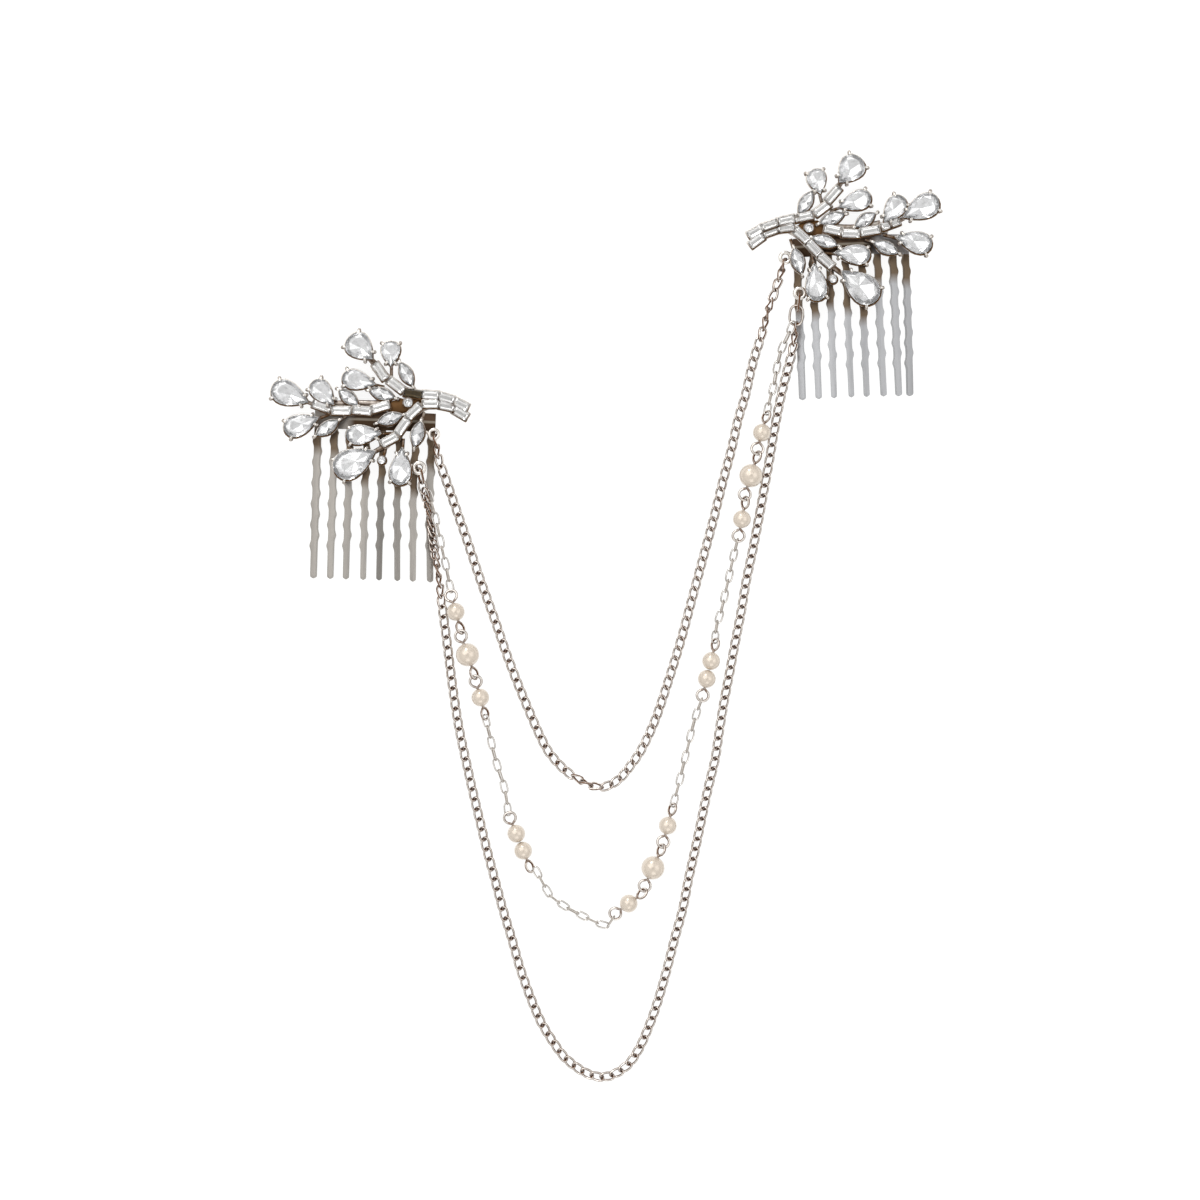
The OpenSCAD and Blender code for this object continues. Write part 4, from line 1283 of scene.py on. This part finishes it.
def eye():
    """A teardrop eye: its middle at the origin, its neck towards -X."""
    arc = radians(150)
    points = [(-EYE_NECK - 0.6, 0, 0), (-EYE_NECK + 0.15, 0, 0), (-EYE_R - 0.22, 0.12, 0)]
    for i in range(23):
        t = arc - 2 * arc * i / 22
        points.append((EYE_R * cos(t), EYE_R * 1.05 * sin(t), 0.08 * sin(t)))
    points.append((-EYE_R - 0.12, -0.2, -0.05))

    # tarnish and painted shade: dark along the inside of the loop, less so outside
    def shade(co):
        off = (hypot(co.x, co.y / 1.05) - EYE_R) / EYE_WIRE_R
        return 0.45 if co.x < -EYE_R * 0.8 else (0.9 if off < 0 else 0.55) * abs(off) ** 1.3

    return painted_stain_and_shade(wire(points, EYE_WIRE_R), shade)


class HAIRCOMB_OT_pearl_swag(bpy.types.Operator):
    """Makes the pearls, their eye pins and the fine chain between them"""
    bl_idname = "haircomb.pearl_swag"
    bl_label = "Pearl swag"

    def execute(self, context):
        size = context.scene.hair_comb_chains
        beads = {d: pearl(d) for d in (SMALL, LARGE)}
        one = eye()
        pearls, wires = [], []
        for here, way, reach, row in pins():
            along = EYE_NECK
            for d in row:
                pearls.append(copy_at(beads[d], axes(here + way * (along + d / 2), way, 0)))
                along += d + BEAD_GAP
            wires.append(copy_at(one, axes(here, -way, -EYE_ROLLS[0])))
            wires.append(copy_at(one, axes(here + way * reach, way, EYE_ROLLS[1])))
        drop(one, *beads.values())
        finished(joined(pearls, "pearl_beads"), 60, "pearl", "pearl", "pearls")
        finished(joined(wires, "eye_pin_wires"), 60, "chain silver", "silver", "pearl_pins")
        one = link(size.fine_length, size.fine_width, size.fine_wire)
        rng = random.Random(SEED)
        stretches = []
        for points in FINE:
            tilt = [rng.uniform(-FINE_TILT, FINE_TILT) for _ in range(TILTS)]
            stretches.append(strung(Route(points), size.fine_pitch, one,
                                    lambda i, n: FINE_ROLLS[i % 2] + tilt[i], "fine"))
        drop(one)
        finished(joined(stretches, "fine_cable_chain"), 60, "pale silver", "silver", "pearl_chain")
        return {"FINISHED"}


# Floor, light and camera.

# The light round the object, from the horizon up.
SKY = ((0.0, 0.65), (0.3, 0.88), (0.6, 1.0), (0.85, 0.97), (0.95, 0.85), (0.975, 0.74), (0.992, 0.45))
# Lamps, which all look at the object: name, place, size and power.
LAMPS = (
    ("key", (-0.5, 0.55, 1.1), 1.1, 5.0),
    ("fill", (0.75, 0.1, 0.9), 0.8, 1.5),
    ("low", (0.1, -0.9, 0.7), 0.6, 1.2),
    ("window", (-0.25, 1.0, 0.55), 0.3, 2.4),
)
# The photograph: its width in pixels, its pixels to a millimetre, and the pixel of the tables' origin.
PHOTO_W, PX, PHOTO_ORIGIN = 1200, 4.5, (606.5, 619.5)
# Height of the camera and of the object's middle, in metres, and width of the camera's sensor.
HIGH, MID_HEIGHT, SENSOR = 0.6, 0.0025, 36


class HAIRCOMB_OT_stage(bpy.types.Operator):
    """Sets the floor, the light and the camera"""
    bl_idname = "haircomb.stage"
    bl_label = "Stage"

    def execute(self, context):
        floor = primitive(bpy.ops.mesh.primitive_plane_add, size=6, location=(0, 0, 0))
        floor.name = "floor"
        mat, tree, shader = blank("white floor")
        feed(tree, shader, {"Base Color": (0.2, 0.2, 0.2, 1), "Emission Color": (1, 1, 0.995, 1),
                            "Emission Strength": 0.9, "Roughness": 0.9, "Specular IOR Level": 0.1})
        floor.data.materials.append(mat)

        world = bpy.data.worlds.new("studio")
        context.scene.world = world
        world.use_nodes = True
        tree = world.node_tree
        place = add(tree, "ShaderNodeTexCoord").outputs["Generated"]
        split = add(tree, "ShaderNodeSeparateXYZ", Vector=place)
        feed(tree, tree.nodes["Background"], {"Color": ramp(tree, split.outputs["Z"], SKY), "Strength": 0.9})

        for name, spot, size, power in LAMPS:
            lamp = bpy.data.lights.new(name, "AREA")
            lamp.shape = "SQUARE"
            lamp.size = size
            lamp.energy = power
            holder = bpy.data.objects.new(name, lamp)
            context.collection.objects.link(holder)
            holder.location = spot
            holder.rotation_euler = (-Vector(spot)).to_track_quat("-Z", "Y").to_euler()

        # The photograph looks straight down, and its scale holds at the object's mid height.
        cam = bpy.data.cameras.new("camera")
        cam.sensor_width = SENSOR
        cam.lens = SENSOR * (HIGH - MID_HEIGHT) / (PHOTO_W / PX * MM)
        holder = bpy.data.objects.new("camera", cam)
        context.collection.objects.link(holder)
        holder.location = (((PHOTO_W / 2 - PHOTO_ORIGIN[0]) / PX + MIDDLE.x) * MM,
                           ((PHOTO_ORIGIN[1] - PHOTO_W / 2) / PX + MIDDLE.y) * MM, HIGH)
        context.scene.camera = holder
        context.scene.view_settings.view_transform = "Standard"
        return {"FINISHED"}


class HAIRCOMB_PT_panel(bpy.types.Panel):
    """Lists the steps that build the hair comb"""
    bl_idname = "HAIRCOMB_PT_panel"
    bl_label = "Hair comb"
    bl_space_type = "VIEW_3D"
    bl_region_type = "UI"
    bl_category = "Hair comb"

    def draw(self, context):
        for group in ("hair_comb_sizes", "hair_comb_chains", "hair_comb_finishes"):
            props = getattr(context.scene, group)
            for key in props.__annotations__:
                self.layout.prop(props, key)
        for step in STEPS:
            self.layout.operator(step.bl_idname)


STEPS = (HAIRCOMB_OT_stage, HAIRCOMB_OT_combs, HAIRCOMB_OT_settings, HAIRCOMB_OT_stones, HAIRCOMB_OT_rings,
         HAIRCOMB_OT_curb_chains, HAIRCOMB_OT_pearl_swag)
CLASSES = (CombSizes, ChainSizes, Finishes, *STEPS, HAIRCOMB_PT_panel)


def register():
    for cls in CLASSES:
        bpy.utils.register_class(cls)
    bpy.types.Scene.hair_comb_sizes = bpy.props.PointerProperty(type=CombSizes)
    bpy.types.Scene.hair_comb_chains = bpy.props.PointerProperty(type=ChainSizes)
    bpy.types.Scene.hair_comb_finishes = bpy.props.PointerProperty(type=Finishes)


def unregister():
    del bpy.types.Scene.hair_comb_finishes
    del bpy.types.Scene.hair_comb_chains
    del bpy.types.Scene.hair_comb_sizes
    for cls in reversed(CLASSES):
        bpy.utils.unregister_class(cls)


def main():
    register()
    bpy.ops.haircomb.stage()
    bpy.ops.haircomb.combs()
    bpy.ops.haircomb.settings()
    bpy.ops.haircomb.stones()
    bpy.ops.haircomb.rings()
    bpy.ops.haircomb.curb_chains()
    bpy.ops.haircomb.pearl_swag()


if __name__ == "__main__":
    main()
